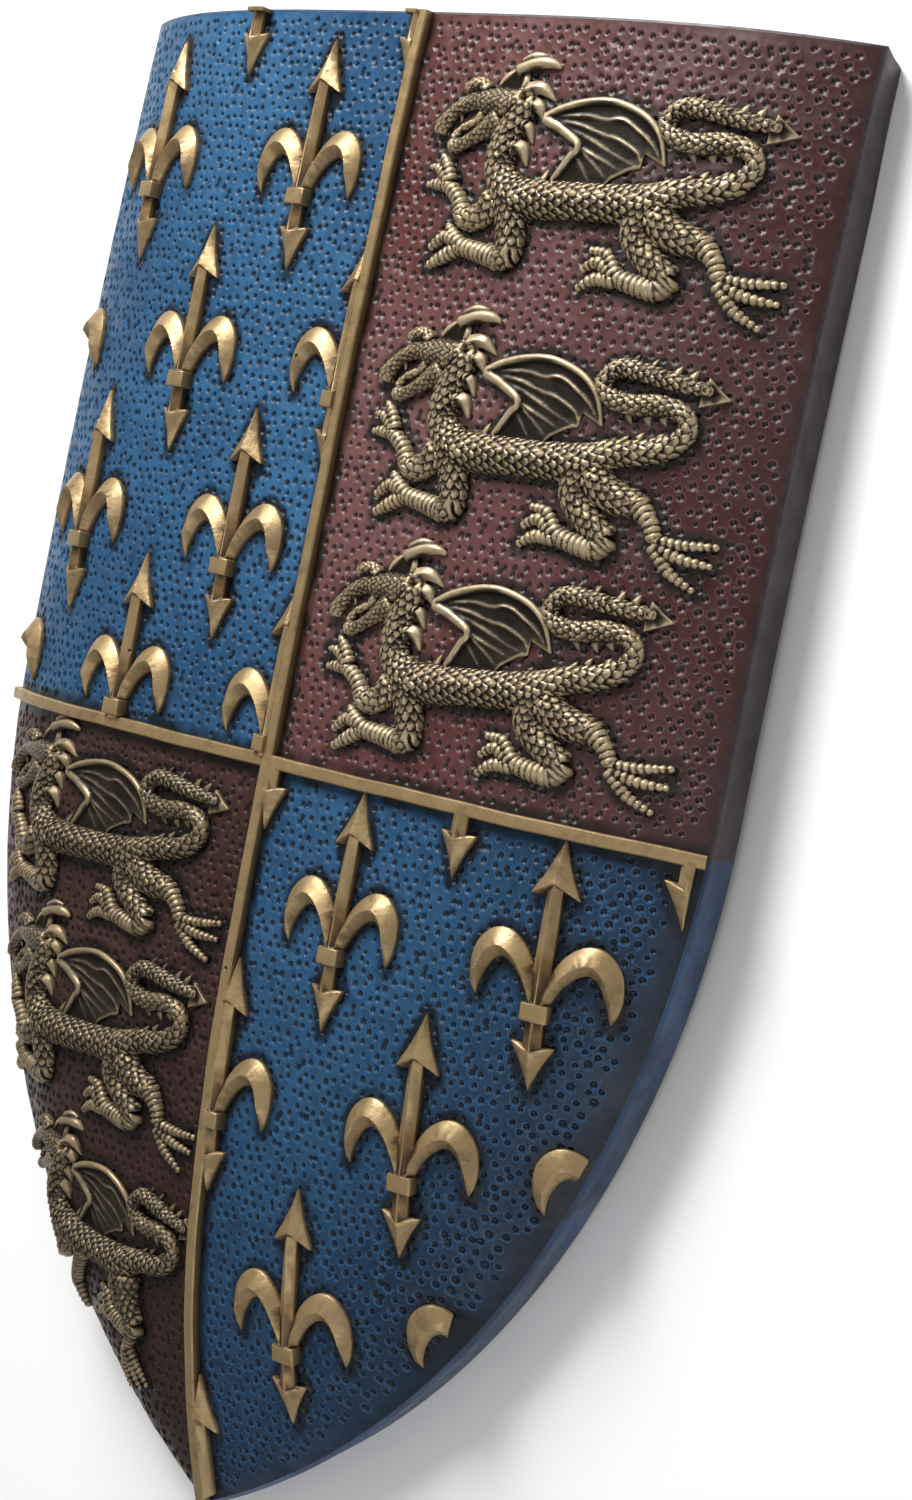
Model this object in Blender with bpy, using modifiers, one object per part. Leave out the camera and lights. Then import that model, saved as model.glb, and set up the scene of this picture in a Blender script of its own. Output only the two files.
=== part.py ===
"""A cast wall shield in the heater form, quartered with fleurs-de-lis and dragons, lying on its back.

Metres, +Z up. The shield's top is towards +Y and the viewer's right is +X. The face is drawn flat as
x, y and a height over the face, and then laid on the dome. The bars cross at x = 0, y = 0 of that
drawing. The origin is the middle of the bounding box, on the surface that the shield lies on.
"""

import math

import bmesh
import bpy
from mathutils import Matrix, Vector

# Outline, from the crossing of the bars
HALF_WIDTH = 0.199
TOP_LENGTH = 0.303
TIP_LENGTH = 0.307
SHOULDER = 0.013

# Dome, as drops below the crossing
SIDE_DROP = 0.034
END_DROP = 0.009
TOP_DROP = 0.0055
CREST_SLOPE = 0.009
FLATNESS = 0.85
TIP_POWER = 3.17

# Casting
WALL = 0.008
EDGE_DEPTH = 0.020
EDGE_DRAFT = 0.005
EDGE_WIDTH = 0.014
FOOT_TRIM = 0.003
HOLLOW_END = 0.006

# Bars
BAR_WIDTH = 0.0055
BAR_HEIGHT = 0.004
BAR_GAP = 0.0015
CROSS_STEP = 0.0004

# The space that figures leave at the rim and at the top, and the longest loose piece left out
FIGURE_MARGIN = 0.004
TOP_MARGIN = 0.0006
CRUMB = 0.009

# Fleurs-de-lis, whose height and columns are shares of the half width, and rows of the lengths
FLEUR_SHARE = 0.482
FLEUR_RELIEF = 0.005
UPPER_COLUMNS = (-0.015, -0.239, -0.492, -0.764, -1.033)
UPPER_ROWS = (1.003, 0.741, 0.479, 0.238, 0.021)
LOWER_COLUMNS = (0.020, 0.271, 0.520, 0.746)
LOWER_ROWS = (0.010, -0.220, -0.469, -0.733)
CORNER_FLEUR = (0.972, 0.010)
TIP_FLEUR = (0.020, -1.026)
LONE_PETALS = ((0.914, -0.469), (0.680, -0.706))

# Dragons, whose length is a share of the half width
DRAGON_SHARE = 0.797
DRAGON_RELIEF = 0.0068

# The two figures are drawn in squares: how long and how high each drawing is
FLEUR_SQUARES = 48.5
FLEUR_SQUARES_HIGH = 2.4
DRAGON_SQUARES = 79.6
DRAGON_SQUARES_HIGH = 3.6
SUNK_SQUARES = 1.0
SKIRT_SQUARES = 0.25

# How finely each figure is fused, in squares, and how many faces are kept of it
VOXEL = 0.4
FLEUR_FACES = 120
DRAGON_FACES = 450

# How finely the dome is cut into faces
COLUMNS = 16
ROWS = 20
CLOSER_EDGES = 1.1
HOLLOW_COLUMNS = 10
HOLLOW_ROWS = 14
QUARTER_ROWS = 16

# Worked out from the above
SIDE_RADIUS = (HALF_WIDTH ** 2 + (SHOULDER + TIP_LENGTH) ** 2) / (2 * HALF_WIDTH)
ROOT = WALL / 4
BASE_LEVEL = SIDE_DROP + END_DROP + EDGE_DEPTH - FOOT_TRIM
CENTRE_SHIFT = (TIP_LENGTH - TOP_LENGTH) / 2
CLEAR = 0.05


def side_x(y, inset=0.0):
    """Half width of the outline at height y, after the outline has moved inwards by inset."""
    fall = max(SHOULDER - y, 0.0)
    reach = SIDE_RADIUS - inset
    return HALF_WIDTH - SIDE_RADIUS + math.sqrt(max(reach ** 2 - fall ** 2, 0.0))


def low_y(inset, half=0.0):
    """Lowest height at which the moved outline is still this half width."""
    return SHOULDER - math.sqrt((SIDE_RADIUS - inset) ** 2 - (SIDE_RADIUS - HALF_WIDTH + half) ** 2)


def rim_level(y):
    end = TOP_LENGTH if y > 0 else TIP_LENGTH
    return -SIDE_DROP - END_DROP * (y / end) ** 2


def crest_level(y):
    """The middle line of the dome, which comes down to the rim at the tip."""
    level = -CREST_SLOPE * y
    if y > 0:
        return level - TOP_DROP * (y / TOP_LENGTH) ** 3
    tip_drop = SIDE_DROP + END_DROP + CREST_SLOPE * TIP_LENGTH
    return level - tip_drop * (-y / TIP_LENGTH) ** TIP_POWER


def dome(y, share):
    """Level of the dome, at this share of the way from the middle line to the rim."""
    arch = (1 - FLATNESS) * share ** 2 + FLATNESS * share ** 4
    crest = crest_level(y)
    return crest + (rim_level(y) - crest) * arch


def face_level(x, y):
    return dome(y, min(abs(x) / max(side_x(y), BAR_WIDTH), 1.2))


def on_face(x, y, height):
    """The point this far over the face, square to it."""
    step = 0.0005
    slope_x = (face_level(x + step, y) - face_level(x - step, y)) / (2 * step)
    slope_y = (face_level(x, y + step) - face_level(x, y - step)) / (2 * step)
    normal = Vector((-slope_x, -slope_y, 1.0)).normalized()
    return Vector((x, y, face_level(x, y))) + normal * height


def painted(name, colour, roughness, metallic):
    material = bpy.data.materials.new(name)
    material.use_nodes = True
    shader = material.node_tree.nodes["Principled BSDF"]
    shader.inputs["Base Color"].default_value = (*colour, 1.0)
    shader.inputs["Roughness"].default_value = roughness
    shader.inputs["Metallic"].default_value = metallic
    material.diffuse_color = (*colour, 1.0)
    return material


def finished(shape, name, material):
    """A mesh from the shape, with outward faces and one material."""
    bmesh.ops.recalc_face_normals(shape, faces=shape.faces)
    mesh = bpy.data.meshes.new(name)
    shape.to_mesh(mesh)
    shape.free()
    if material:
        mesh.materials.append(material)
    return mesh


def place_guide(name, mesh):
    """Puts a cutter or a piece to be joined in the guides' collection, hidden from renders."""
    guide = bpy.data.objects.new(name, mesh)
    guides.objects.link(guide)
    guide.parent = crossing
    guide.display_type = "WIRE"
    guide.hide_render = True
    return guide


def add_boolean(target, guide, operation):
    cut = target.modifiers.new(operation.lower() + "_" + guide.name, "BOOLEAN")
    cut.operation = operation
    cut.solver = "EXACT"
    cut.object = guide
    cut.material_mode = "TRANSFER"


def evaluated_mesh(thing):
    graph = bpy.context.evaluated_depsgraph_get()
    return bpy.data.meshes.new_from_object(thing.evaluated_get(graph), depsgraph=graph)


def slab(columns, rows, place):
    """A closed sheet of faces, each vertex put where place(across, along, layer) says."""
    shape = bmesh.new()
    bmesh.ops.create_grid(shape, x_segments=columns, y_segments=rows, size=1.0)
    raised = bmesh.ops.extrude_face_region(shape, geom=shape.faces[:], use_keep_orig=True)
    for item in raised["geom"]:
        if isinstance(item, bmesh.types.BMVert):
            item.co.z = 1.0
    for vertex in shape.verts:
        vertex.co = place(vertex.co.x, (vertex.co.y + 1) / 2, vertex.co.z > 0.5)
    bmesh.ops.remove_doubles(shape, verts=shape.verts, dist=0.000001)
    return shape


def height_along(along, inset, half=0.0):
    """Height at this share of the way up, with the crossing always at one half."""
    if along < 0.5:
        return low_y(inset, half) * (1 - 2 * along)
    return (TOP_LENGTH - inset) * (2 * along - 1)


def body_point(across, along, front):
    inset = 0.0 if front else EDGE_DRAFT
    y = height_along(along, inset)
    share = math.sin(across * CLOSER_EDGES) / math.sin(CLOSER_EDGES)
    x = share * side_x(y, inset)
    if front:
        return Vector((x, y, dome(y, abs(share))))
    arch_half = max(side_x(y, EDGE_WIDTH), BAR_WIDTH)
    return Vector((x, y, dome(y, min(abs(x) / arch_half, 1.0)) - EDGE_DEPTH))


def hollow_point(across, along, top):
    y = height_along(along, EDGE_WIDTH, HOLLOW_END)
    x = across * side_x(y, EDGE_WIDTH)
    level = face_level(x, y) - WALL if top else -BASE_LEVEL - CLEAR
    return Vector((x, y, level))


def upright_bar_point(across, along, top):
    end = BAR_WIDTH / 2
    y = height_along(along, TOP_MARGIN, end)
    return on_face(across * end, y, BAR_HEIGHT if top else -ROOT)


def level_bar_point(across, along, top):
    x = across * (HALF_WIDTH - BAR_GAP)
    y = (along - 0.5) * BAR_WIDTH
    return on_face(x, y, BAR_HEIGHT - CROSS_STEP if top else -ROOT)


def quarter(upper, left):
    """The part of the flat drawing that the figures of one quarter may fill."""
    middle = -0.5 if left else 0.5

    def place(across, along, top):
        if upper:
            y = along * (TOP_LENGTH - TOP_MARGIN)
        else:
            y = low_y(FIGURE_MARGIN, BAR_WIDTH) * (1 - along)
        x = (across / 2 + middle) * side_x(y, FIGURE_MARGIN)
        return Vector((x, y, CLEAR if top else -CLEAR))
    return slab(1, QUARTER_ROWS, place)


def welded(curve):
    """A shape from a curve, with its loose caps joined on. The curve is removed."""
    holder = bpy.data.objects.new(curve.name, curve)
    bpy.context.scene.collection.objects.link(holder)
    mesh = evaluated_mesh(holder)
    shape = bmesh.new()
    shape.from_mesh(mesh)
    bmesh.ops.remove_doubles(shape, verts=shape.verts, dist=0.0001)
    bpy.data.meshes.remove(mesh)
    bpy.data.objects.remove(holder)
    bpy.data.curves.remove(curve)
    return shape


def merge(target, shape):
    mesh = bpy.data.meshes.new("merged")
    shape.to_mesh(mesh)
    shape.free()
    target.from_mesh(mesh)
    bpy.data.meshes.remove(mesh)


def tubes(lines, sides):
    """Closed tubes along lines of (x, y, radius), widest just under the face. Units are squares."""
    curve = bpy.data.curves.new("tubes", "CURVE")
    curve.dimensions = "3D"
    curve.bevel_depth = 1.0
    curve.bevel_resolution = sides // 2 - 2
    curve.use_fill_caps = True
    for line in lines:
        spline = curve.splines.new("POLY")
        spline.points.add(len(line) - 1)
        for point, (x, y, radius) in zip(spline.points, line):
            lift = min(0.6 * radius, max(0.35 * (3.4 - radius), 0.0))
            point.co = (x, y, lift, 1.0)
            point.radius = radius
    shape = welded(curve)
    shape.normal_update()
    for vertex in shape.verts:
        if vertex.normal.z < -0.2:
            vertex.co.z = -SUNK_SQUARES
        elif vertex.normal.z < 0.2:
            vertex.co.z = -SKIRT_SQUARES
    return shape


def plate(outline, top):
    """A flat plate with this outline, from below the face up to top. Units are squares."""
    curve = bpy.data.curves.new("plate", "CURVE")
    curve.dimensions = "2D"
    curve.fill_mode = "BOTH"
    curve.extrude = (top + SUNK_SQUARES) / 2
    spline = curve.splines.new("POLY")
    spline.points.add(len(outline) - 1)
    spline.use_cyclic_u = True
    for point, (x, y) in zip(spline.points, outline):
        point.co = (x, y, 0.0, 1.0)
    shape = welded(curve)
    bmesh.ops.translate(shape, verts=shape.verts, vec=(0.0, 0.0, (top - SUNK_SQUARES) / 2))
    return shape


def arrowhead(base_y, tip_y, half_width, barb):
    """A ridged arrowhead, whose flat base is drawn in towards the tip to leave two barbs."""
    shape = bmesh.new()
    upward = 1 if tip_y > base_y else -1
    turn = Matrix.Rotation(math.radians(-90 * upward), 4, "X")
    bmesh.ops.create_cone(
        shape, cap_ends=True, cap_tris=True, segments=4, radius1=half_width, radius2=0.0,
        depth=abs(tip_y - base_y), matrix=Matrix.Translation((0.0, (base_y + tip_y) / 2, 0.0)) @ turn)
    for vertex in shape.verts:
        if vertex.co.xz.length < 0.01 and abs(vertex.co.y - base_y) < 0.01:
            vertex.co.y += upward * barb
        vertex.co.z = 0.5 * vertex.co.z - SKIRT_SQUARES
    return shape


def fused(shape, faces):
    """One closed skin over overlapping pieces, with a flat underside a little below the face."""
    for vertex in shape.verts:
        vertex.co.z = max(vertex.co.z, -SUNK_SQUARES)
    shape = modified(shape, "REMESH", mode="VOXEL", voxel_size=VOXEL)
    bmesh.ops.triangulate(shape, faces=shape.faces)
    return modified(shape, "DECIMATE", ratio=faces / len(shape.faces))


def fleur(petals, shaft):
    """A fleur-de-lis about its collar, in squares, with left (-1) and right (1) petals as listed."""
    curl = [(0.6, 1.0, 1.1), (2.4, 6.2, 1.4), (5.4, 10.6, 2.1), (9.2, 11.8, 2.7),
            (12.2, 9.2, 2.3), (13.3, 5.0, 1.4), (13.2, 0.8, 0.4)]
    lines = [[(side * x, y, radius) for x, y, radius in curl] for side in petals]
    if shaft:
        lines.append([(0, 25, 1.7), (0, -7.5, 1.5)])
    shape = tubes(lines, 4)
    if shaft:
        merge(shape, arrowhead(22.5, 33.8, 5.2, 2.2))
        merge(shape, arrowhead(-6.3, -15.5, 4.5, 1.2))
        merge(shape, box((0, 0, 0), (5.2, 3.6, 4.4)))
    return fused(shape, FLEUR_FACES * (len(petals) + shaft) // 3)


def turned(line, pivot, angle):
    """A line of (x, y, radius) turned about a pivot, in radians."""
    result = []
    for x, y, radius in line:
        out = x - pivot[0]
        up = y - pivot[1]
        result.append((pivot[0] + out * math.cos(angle) - up * math.sin(angle),
                       pivot[1] + out * math.sin(angle) + up * math.cos(angle), radius))
    return result


def limbs(kick, reach):
    """The legs and toes. The far hind one is turned by kick, and the fore ones by reach, in radians."""
    far_fore = [(19, -1, 2.6), (16.5, -4.2, 2.3), (13.2, -5.2, 2.1), (11.6, -4, 1.9),
                (9.7, -1.3, 1.5), (6.6, 1, 1.4)]
    near_fore = [(22.5, 0, 3.4), (24.6, -6.5, 2.9), (25.2, -11, 2.6), (23, -12.4, 2.2),
                 (18.5, -11.6, 1.8), (12.5, -10.6, 1.6)]
    near_hind = [(54, 0, 3.5), (53.4, -5, 3.0), (56.5, -9, 2.5), (61.5, -12.6, 2.4),
                 (60, -14.8, 2.1), (56, -14.6, 1.8), (51, -13.6, 1.6)]
    far_hind = [(56.5, -1.5, 3.4), (61, -4.3, 2.9), (66.4, -5.2, 2.3), (69.4, -8, 1.5),
                (71.2, -11.5, 1.3)]
    far_claws = [[(6.6, 1, 1.3), (3, 1.2, 0.9), (0.4, 1, 0.5)],
                 [(6.4, 1.8, 1.3), (3.2, 4.2, 0.9), (0.3, 4.6, 0.5)],
                 [(6.8, 2, 1.2), (4.6, 5.6, 0.9), (2.6, 7.2, 0.5)]]
    near_claws = [[(12.5, -10, 1.3), (9.5, -7.8, 0.9), (8.2, -6.5, 0.5)],
                  [(12.5, -10.2, 1.4), (8.5, -9, 1.1), (4.8, -11.4, 0.8)],
                  [(13, -10.8, 1.4), (8.6, -13.2, 1.1), (5.2, -15, 0.8)]]
    hind_toes = [[(51, -13, 1.3), (48, -9.4, 0.9), (44.2, -8.8, 0.7)],
                 [(50.6, -13.4, 1.3), (46.4, -11, 1.0), (43, -12.8, 0.7)],
                 [(51, -14.2, 1.3), (46.2, -14.4, 1.0), (42.9, -16.4, 0.7)]]
    far_toes = [[(71, -11.4, 1.1), (76, -11.3, 0.8), (82.6, -10.5, 0.4)],
                [(71, -12, 1.1), (76, -13.8, 0.9), (81.8, -14.3, 0.4)],
                [(70.8, -12.4, 1.1), (74.6, -16.6, 0.9), (79.6, -19.4, 0.4)]]
    lines = [near_hind] + hind_toes
    lines += [turned(line, far_fore[0], reach) for line in [far_fore] + far_claws]
    lines += [turned(line, near_fore[0], reach) for line in [near_fore] + near_claws]
    lines += [turned(line, far_hind[0], kick) for line in [far_hind] + far_toes]
    return lines


def dragon(kick, reach):
    """One dragon walking to the left, in squares, with the shoulder's height as y = 0."""
    shape = bmesh.new()
    spine = [(21.5, 18, 2.3), (20.6, 15, 2.6), (19, 11.5, 3.0), (18.2, 7.5, 3.0), (19.2, 3.6, 3.1),
             (23.5, 0.2, 3.6), (30, -0.2, 3.4), (38, 0, 3.2), (46, 0.3, 3.1), (54, 1, 3.6),
             (60, 3.6, 2.4), (65, 4.6, 2.1), (70, 6.4, 1.9), (73, 9.6, 1.5), (71.8, 12.8, 1.5),
             (67, 14, 1.6), (61, 13.2, 1.6), (56.6, 14.1, 1.5), (54.8, 16.6, 1.4),
             (56.4, 19.3, 1.3), (60, 19.9, 1.3), (68, 18.7, 1.0), (75.3, 17.9, 0.7)]
    skull = [(20.5, 18.5, 2.4), (16.5, 18.8, 3.0), (12.8, 18.2, 2.6)]
    upper_jaw = [(13.5, 18, 2.3), (8.2, 16.2, 1.3), (4.5, 14.4, 1.1), (1.9, 12.4, 1.8), (1.2, 10.6, 1.0)]
    lower_jaw = [(15.2, 16.4, 1.6), (12, 13, 1.2), (8.6, 10.6, 1.2), (5.2, 9.2, 1.4), (3.6, 8.1, 0.7)]
    brow = [(7.0, 19.4, 1.0), (9, 20.9, 1.6), (11.4, 20, 1.3)]
    horns = [[(18, 24.6, 1.2), (22, 26, 1.2), (25.5, 26.3, 1.0), (28, 25.6, 0.4)],
             [(18.5, 26.4, 0.8), (21.5, 27.6, 0.8), (24.4, 27.7, 0.4)]]
    leading_edge = [(27.2, 15.6, 1.0), (31, 17.7, 0.9), (36.5, 19.3, 0.8), (42, 19.7, 0.8),
                    (47.7, 18.3, 0.7), (51.5, 16.2, 0.7), (54, 13.2, 0.6), (55.8, 8.3, 0.4)]
    arm = [(27.2, 15.4, 1.1), (31.6, 13.7, 1.1), (36.2, 10.8, 1.0), (34.7, 8, 0.9), (31.8, 3.6, 0.7)]
    finger = [(28, 15.2, 0.9), (38, 14.5, 0.7), (46, 11.5, 0.6), (50.8, 7.8, 0.4)]
    merge(shape, tubes([spine, skull, upper_jaw, lower_jaw, brow] + horns, 8))
    merge(shape, tubes([leading_edge, arm, finger] + limbs(kick, reach), 8))
    wing = [(27.2, 15.6), (31, 17.7), (36.5, 19.3), (42, 19.7), (47.7, 18.3), (51.5, 16.2), (54, 13.2),
            (55.8, 8.3), (51.2, 10.3), (50.8, 7.5), (46.9, 6.4), (44.2, 4.5), (43, 1), (32, 1),
            (34.8, 8), (36.2, 10.8), (31.6, 13.7)]
    merge(shape, plate(wing, 1.0))
    merge(shape, plate([(13.6, 20.4), (15.6, 23.2), (19.4, 25.5), (20, 22), (19.6, 18.5), (16.5, 17.3)], 3.5))
    merge(shape, plate([(20.5, 22), (24.5, 21.8), (28.6, 18.9), (24.5, 18.2), (20.5, 17)], 1.6))
    merge(shape, plate([(20, 15), (26.5, 15.6), (25.2, 12.4), (22.4, 10.6), (19.5, 11)], 1.3))
    merge(shape, plate([(19.5, 10.4), (22.2, 9.8), (24.7, 5.6), (19.5, 5)], 1.2))
    merge(shape, plate([(74.4, 18.4), (75.8, 20.2), (79.6, 17.2), (75.4, 14.7), (74.2, 17)], 1.4))
    return fused(shape, DRAGON_FACES)


def box(centre, size):
    shape = bmesh.new()
    bmesh.ops.create_cube(shape, size=1.0)
    bmesh.ops.scale(shape, verts=shape.verts, vec=size)
    bmesh.ops.translate(shape, verts=shape.verts, vec=centre)
    return shape


def joined(shapes, operation):
    """One shape from several, each added to or cut by the next with a Boolean."""
    things = []
    for shape in shapes:
        thing = bpy.data.objects.new("joined", finished(shape, "joined", None))
        bpy.context.scene.collection.objects.link(thing)
        things.append(thing)
    for other in things[1:]:
        add_boolean(things[0], other, operation)
    result = bmesh.new()
    mesh = evaluated_mesh(things[0])
    result.from_mesh(mesh)
    bpy.data.meshes.remove(mesh)
    for thing in things:
        bpy.data.objects.remove(thing)
    return result


def laid_on_face(shape):
    for vertex in shape.verts:
        vertex.co = on_face(*vertex.co)
    return shape


def modified(shape, kind, **settings):
    """The shape after one modifier."""
    holder = bpy.data.objects.new("holder", finished(shape, "holder", None))
    bpy.context.scene.collection.objects.link(holder)
    modifier = holder.modifiers.new(kind.lower(), kind)
    for name, value in settings.items():
        setattr(modifier, name, value)
    mesh = evaluated_mesh(holder)
    result = bmesh.new()
    result.from_mesh(mesh)
    bpy.data.meshes.remove(mesh)
    bpy.data.objects.remove(holder)
    return result


def drop_crumbs(shape, least):
    """Leaves out loose pieces that are shorter than least, which a cut at the margin can make."""
    unseen = set(shape.verts)
    while unseen:
        piece = [unseen.pop()]
        for vertex in piece:
            for edge in vertex.link_edges:
                other = edge.other_vert(vertex)
                if other in unseen:
                    unseen.remove(other)
                    piece.append(other)
        heights = [vertex.co.y for vertex in piece]
        if max(heights) - min(heights) < least:
            bmesh.ops.delete(shape, geom=piece, context="VERTS")


def length_of(share):
    """A place up or down the face, from its share of the top's or the tip's length."""
    return share * (TOP_LENGTH if share > 0 else TIP_LENGTH)


def chequered(columns, rows):
    """Every other place of a lattice, as on a chequer board."""
    return [(x, y) for row, y in enumerate(rows) for column, x in enumerate(columns)
            if (row + column) % 2 == 0]


def fleurs(name, kinds):
    """Fleurs of one azure quarter, cut off by the bars and by the margin, laid on the dome."""
    square = FLEUR_SHARE * HALF_WIDTH / FLEUR_SQUARES
    rise = FLEUR_RELIEF / FLEUR_SQUARES_HIGH
    drawing = bmesh.new()
    for model, places in kinds:
        for column, row in places:
            single = model.copy()
            bmesh.ops.scale(single, verts=single.verts, vec=(square, square, rise))
            bmesh.ops.translate(
                single, verts=single.verts, vec=(column * HALF_WIDTH, length_of(row), 0.0))
            left = column < 0
            merge(drawing, joined([single, quarter(left, left)], "INTERSECT"))
        model.free()
    drop_crumbs(drawing, CRUMB)
    return place_guide(name, finished(laid_on_face(drawing), name, gold))


def dragon_guide(name, column, row, stretch, rise, turn, kick, reach):
    """A dragon with its shoulder at two shares, stretched, turned by degrees and laid on the dome."""
    square = DRAGON_SHARE * HALF_WIDTH / DRAGON_SQUARES
    shoulder = 27.0
    shape = dragon(math.radians(kick), math.radians(reach))
    bmesh.ops.translate(shape, verts=shape.verts, vec=(-shoulder, 0.0, 0.0))
    bmesh.ops.scale(shape, verts=shape.verts, vec=(
        square * stretch, square * rise, DRAGON_RELIEF / DRAGON_SQUARES_HIGH))
    bmesh.ops.rotate(shape, verts=shape.verts, matrix=Matrix.Rotation(math.radians(turn), 3, "Z"))
    bmesh.ops.translate(
        shape, verts=shape.verts, vec=(column * HALF_WIDTH, length_of(row), 0.0))
    shape = joined([shape, quarter(row > 0, column < 0)], "INTERSECT")
    drop_crumbs(shape, CRUMB)
    return place_guide(name, finished(laid_on_face(shape), name, bronze))


for old in list(bpy.data.objects):
    bpy.data.objects.remove(old)

parts = bpy.data.collections.new("heraldic_shield")
guides = bpy.data.collections.new("cutters_and_guides")
bpy.context.scene.collection.children.link(parts)
bpy.context.scene.collection.children.link(guides)

crossing = bpy.data.objects.new("bar_crossing", None)
crossing.location = (0.0, CENTRE_SHIFT, BASE_LEVEL)
parts.objects.link(crossing)

azure = painted("azure_paint", (0.03, 0.12, 0.30), 0.45, 0.0)
gules = painted("gules_paint", (0.09, 0.02, 0.02), 0.45, 0.0)
gold = painted("antique_gold", (0.45, 0.34, 0.14), 0.42, 0.6)
bronze = painted("dragon_bronze", (0.22, 0.16, 0.07), 0.45, 0.6)
backing = painted("back_paint", (0.02, 0.02, 0.02), 0.7, 0.0)

casting = bpy.data.objects.new("shield_casting", finished(slab(COLUMNS, ROWS, body_point), "casting", azure))
parts.objects.link(casting)
casting.parent = crossing
casting.data.materials.append(gules)
casting.data.materials.append(backing)
for face in casting.data.polygons:
    if face.normal.z < 0:
        face.material_index = 2
    elif face.center.x * face.center.y > 0:
        face.material_index = 1

hollow = finished(slab(HOLLOW_COLUMNS, HOLLOW_ROWS, hollow_point), "hollow", backing)
add_boolean(casting, place_guide("back_hollow", hollow), "DIFFERENCE")

relief = [
    place_guide("level_bar", finished(slab(24, 1, level_bar_point), "level_bar", gold)),
    place_guide("upright_bar", finished(slab(1, 32, upright_bar_point), "upright_bar", gold)),
    fleurs("upper_fleurs", [(fleur([-1, 1], True), chequered(UPPER_COLUMNS, UPPER_ROWS))]),
    fleurs("lower_fleurs", [
        (fleur([-1, 1], True), chequered(LOWER_COLUMNS, LOWER_ROWS[:3]) + [
            CORNER_FLEUR, (LOWER_COLUMNS[1], LOWER_ROWS[3])]),
        (fleur([], True), [TIP_FLEUR]),
        (fleur([-1], False), LONE_PETALS)]),
    dragon_guide("upper_dragon_1", 0.374, 0.765, 1.00, 0.99, 0, 0, 0),
    dragon_guide("upper_dragon_2", 0.364, 0.441, 0.985, 0.98, 0, 0, 0),
    dragon_guide("upper_dragon_3", 0.364, 0.144, 0.975, 0.97, 4, 0, 0),
    dragon_guide("lower_dragon_1", -0.625, -0.171, 1.02, 0.89, 0, 4, 0),
    dragon_guide("lower_dragon_2", -0.540, -0.426, 0.93, 0.91, 0, -6, 0),
    dragon_guide("lower_dragon_3", -0.425, -0.690, 0.77, 0.85, -8, -50, 70),
]
for piece in relief:
    add_boolean(casting, piece, "UNION")

ground = bmesh.new()
bmesh.ops.create_cube(ground, size=1.0)
bmesh.ops.scale(ground, verts=ground.verts, vec=(4 * HALF_WIDTH, 4 * TIP_LENGTH, CLEAR))
bmesh.ops.translate(ground, verts=ground.verts, vec=(0.0, 0.0, -BASE_LEVEL - CLEAR / 2))
add_boolean(casting, place_guide("ground_cut", finished(ground, "ground_cut", backing)), "DIFFERENCE")
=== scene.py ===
import math

import bmesh
import bpy
import numpy as np
from mathutils import Matrix, Vector
from mathutils.geometry import delaunay_2d_cdt


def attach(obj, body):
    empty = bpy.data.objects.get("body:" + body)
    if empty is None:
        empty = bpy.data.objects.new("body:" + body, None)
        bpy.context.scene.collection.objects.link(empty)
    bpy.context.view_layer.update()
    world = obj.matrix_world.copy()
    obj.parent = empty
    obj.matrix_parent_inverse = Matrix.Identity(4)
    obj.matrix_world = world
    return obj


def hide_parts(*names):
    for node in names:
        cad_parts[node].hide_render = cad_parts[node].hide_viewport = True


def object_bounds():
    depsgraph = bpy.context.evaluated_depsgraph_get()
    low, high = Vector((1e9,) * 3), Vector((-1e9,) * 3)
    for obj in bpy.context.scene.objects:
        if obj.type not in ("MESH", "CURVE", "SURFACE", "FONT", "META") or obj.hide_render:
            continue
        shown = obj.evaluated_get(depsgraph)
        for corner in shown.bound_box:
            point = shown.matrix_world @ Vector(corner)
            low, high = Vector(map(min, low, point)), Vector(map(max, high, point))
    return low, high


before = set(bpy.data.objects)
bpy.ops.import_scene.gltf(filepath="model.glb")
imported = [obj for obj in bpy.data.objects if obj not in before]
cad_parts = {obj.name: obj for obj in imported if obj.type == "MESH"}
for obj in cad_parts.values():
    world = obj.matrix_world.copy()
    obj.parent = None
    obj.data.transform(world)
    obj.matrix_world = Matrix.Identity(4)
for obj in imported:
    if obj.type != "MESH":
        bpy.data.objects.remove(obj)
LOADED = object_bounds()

RNG = np.random.default_rng(7)
scene = bpy.context.scene

# The casting's sizes in metres, and places as shares of its half width and lengths, as in the solid
HALF_WIDTH = 0.199
TOP_LENGTH = 0.303
TIP_LENGTH = 0.307
SHOULDER = 0.013
SIDE_DROP = 0.034
END_DROP = 0.009
TOP_DROP = 0.0055
CREST_SLOPE = 0.009
FLATNESS = 0.85
TIP_POWER = 3.17
WALL = 0.008
EDGE_DEPTH = 0.02
EDGE_DRAFT = 0.005
EDGE_WIDTH = 0.014
FOOT_TRIM = 0.003
BAR_WIDTH = 0.0055
BAR_HEIGHT = 0.004
BAR_GAP = 0.0015
FIGURE_MARGIN = 0.004
FLEUR_SQUARE = 0.482 * HALF_WIDTH / 48.5
FLEUR_RISE = 0.005 / 2.4
DRAGON_SQUARE = 0.797 * HALF_WIDTH / 79.6
DRAGON_RISE = 0.0068 / 3.6
UPPER_COLUMNS = (-0.015, -0.239, -0.492, -0.764, -1.033)
UPPER_ROWS = (1.003, 0.741, 0.479, 0.238, 0.021)
LOWER_COLUMNS = (0.02, 0.271, 0.52, 0.746)
LOWER_ROWS = (0.01, -0.22, -0.469, -0.733)
CORNER_FLEUR = (0.972, 0.01)
TIP_FLEUR = (0.02, -1.026)
LONE_PETALS = ((0.914, -0.469), (0.68, -0.706))
# Where the two lone petals are trimmed, in half widths
PETAL_ENDS = (0.85, 0.612)
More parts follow.
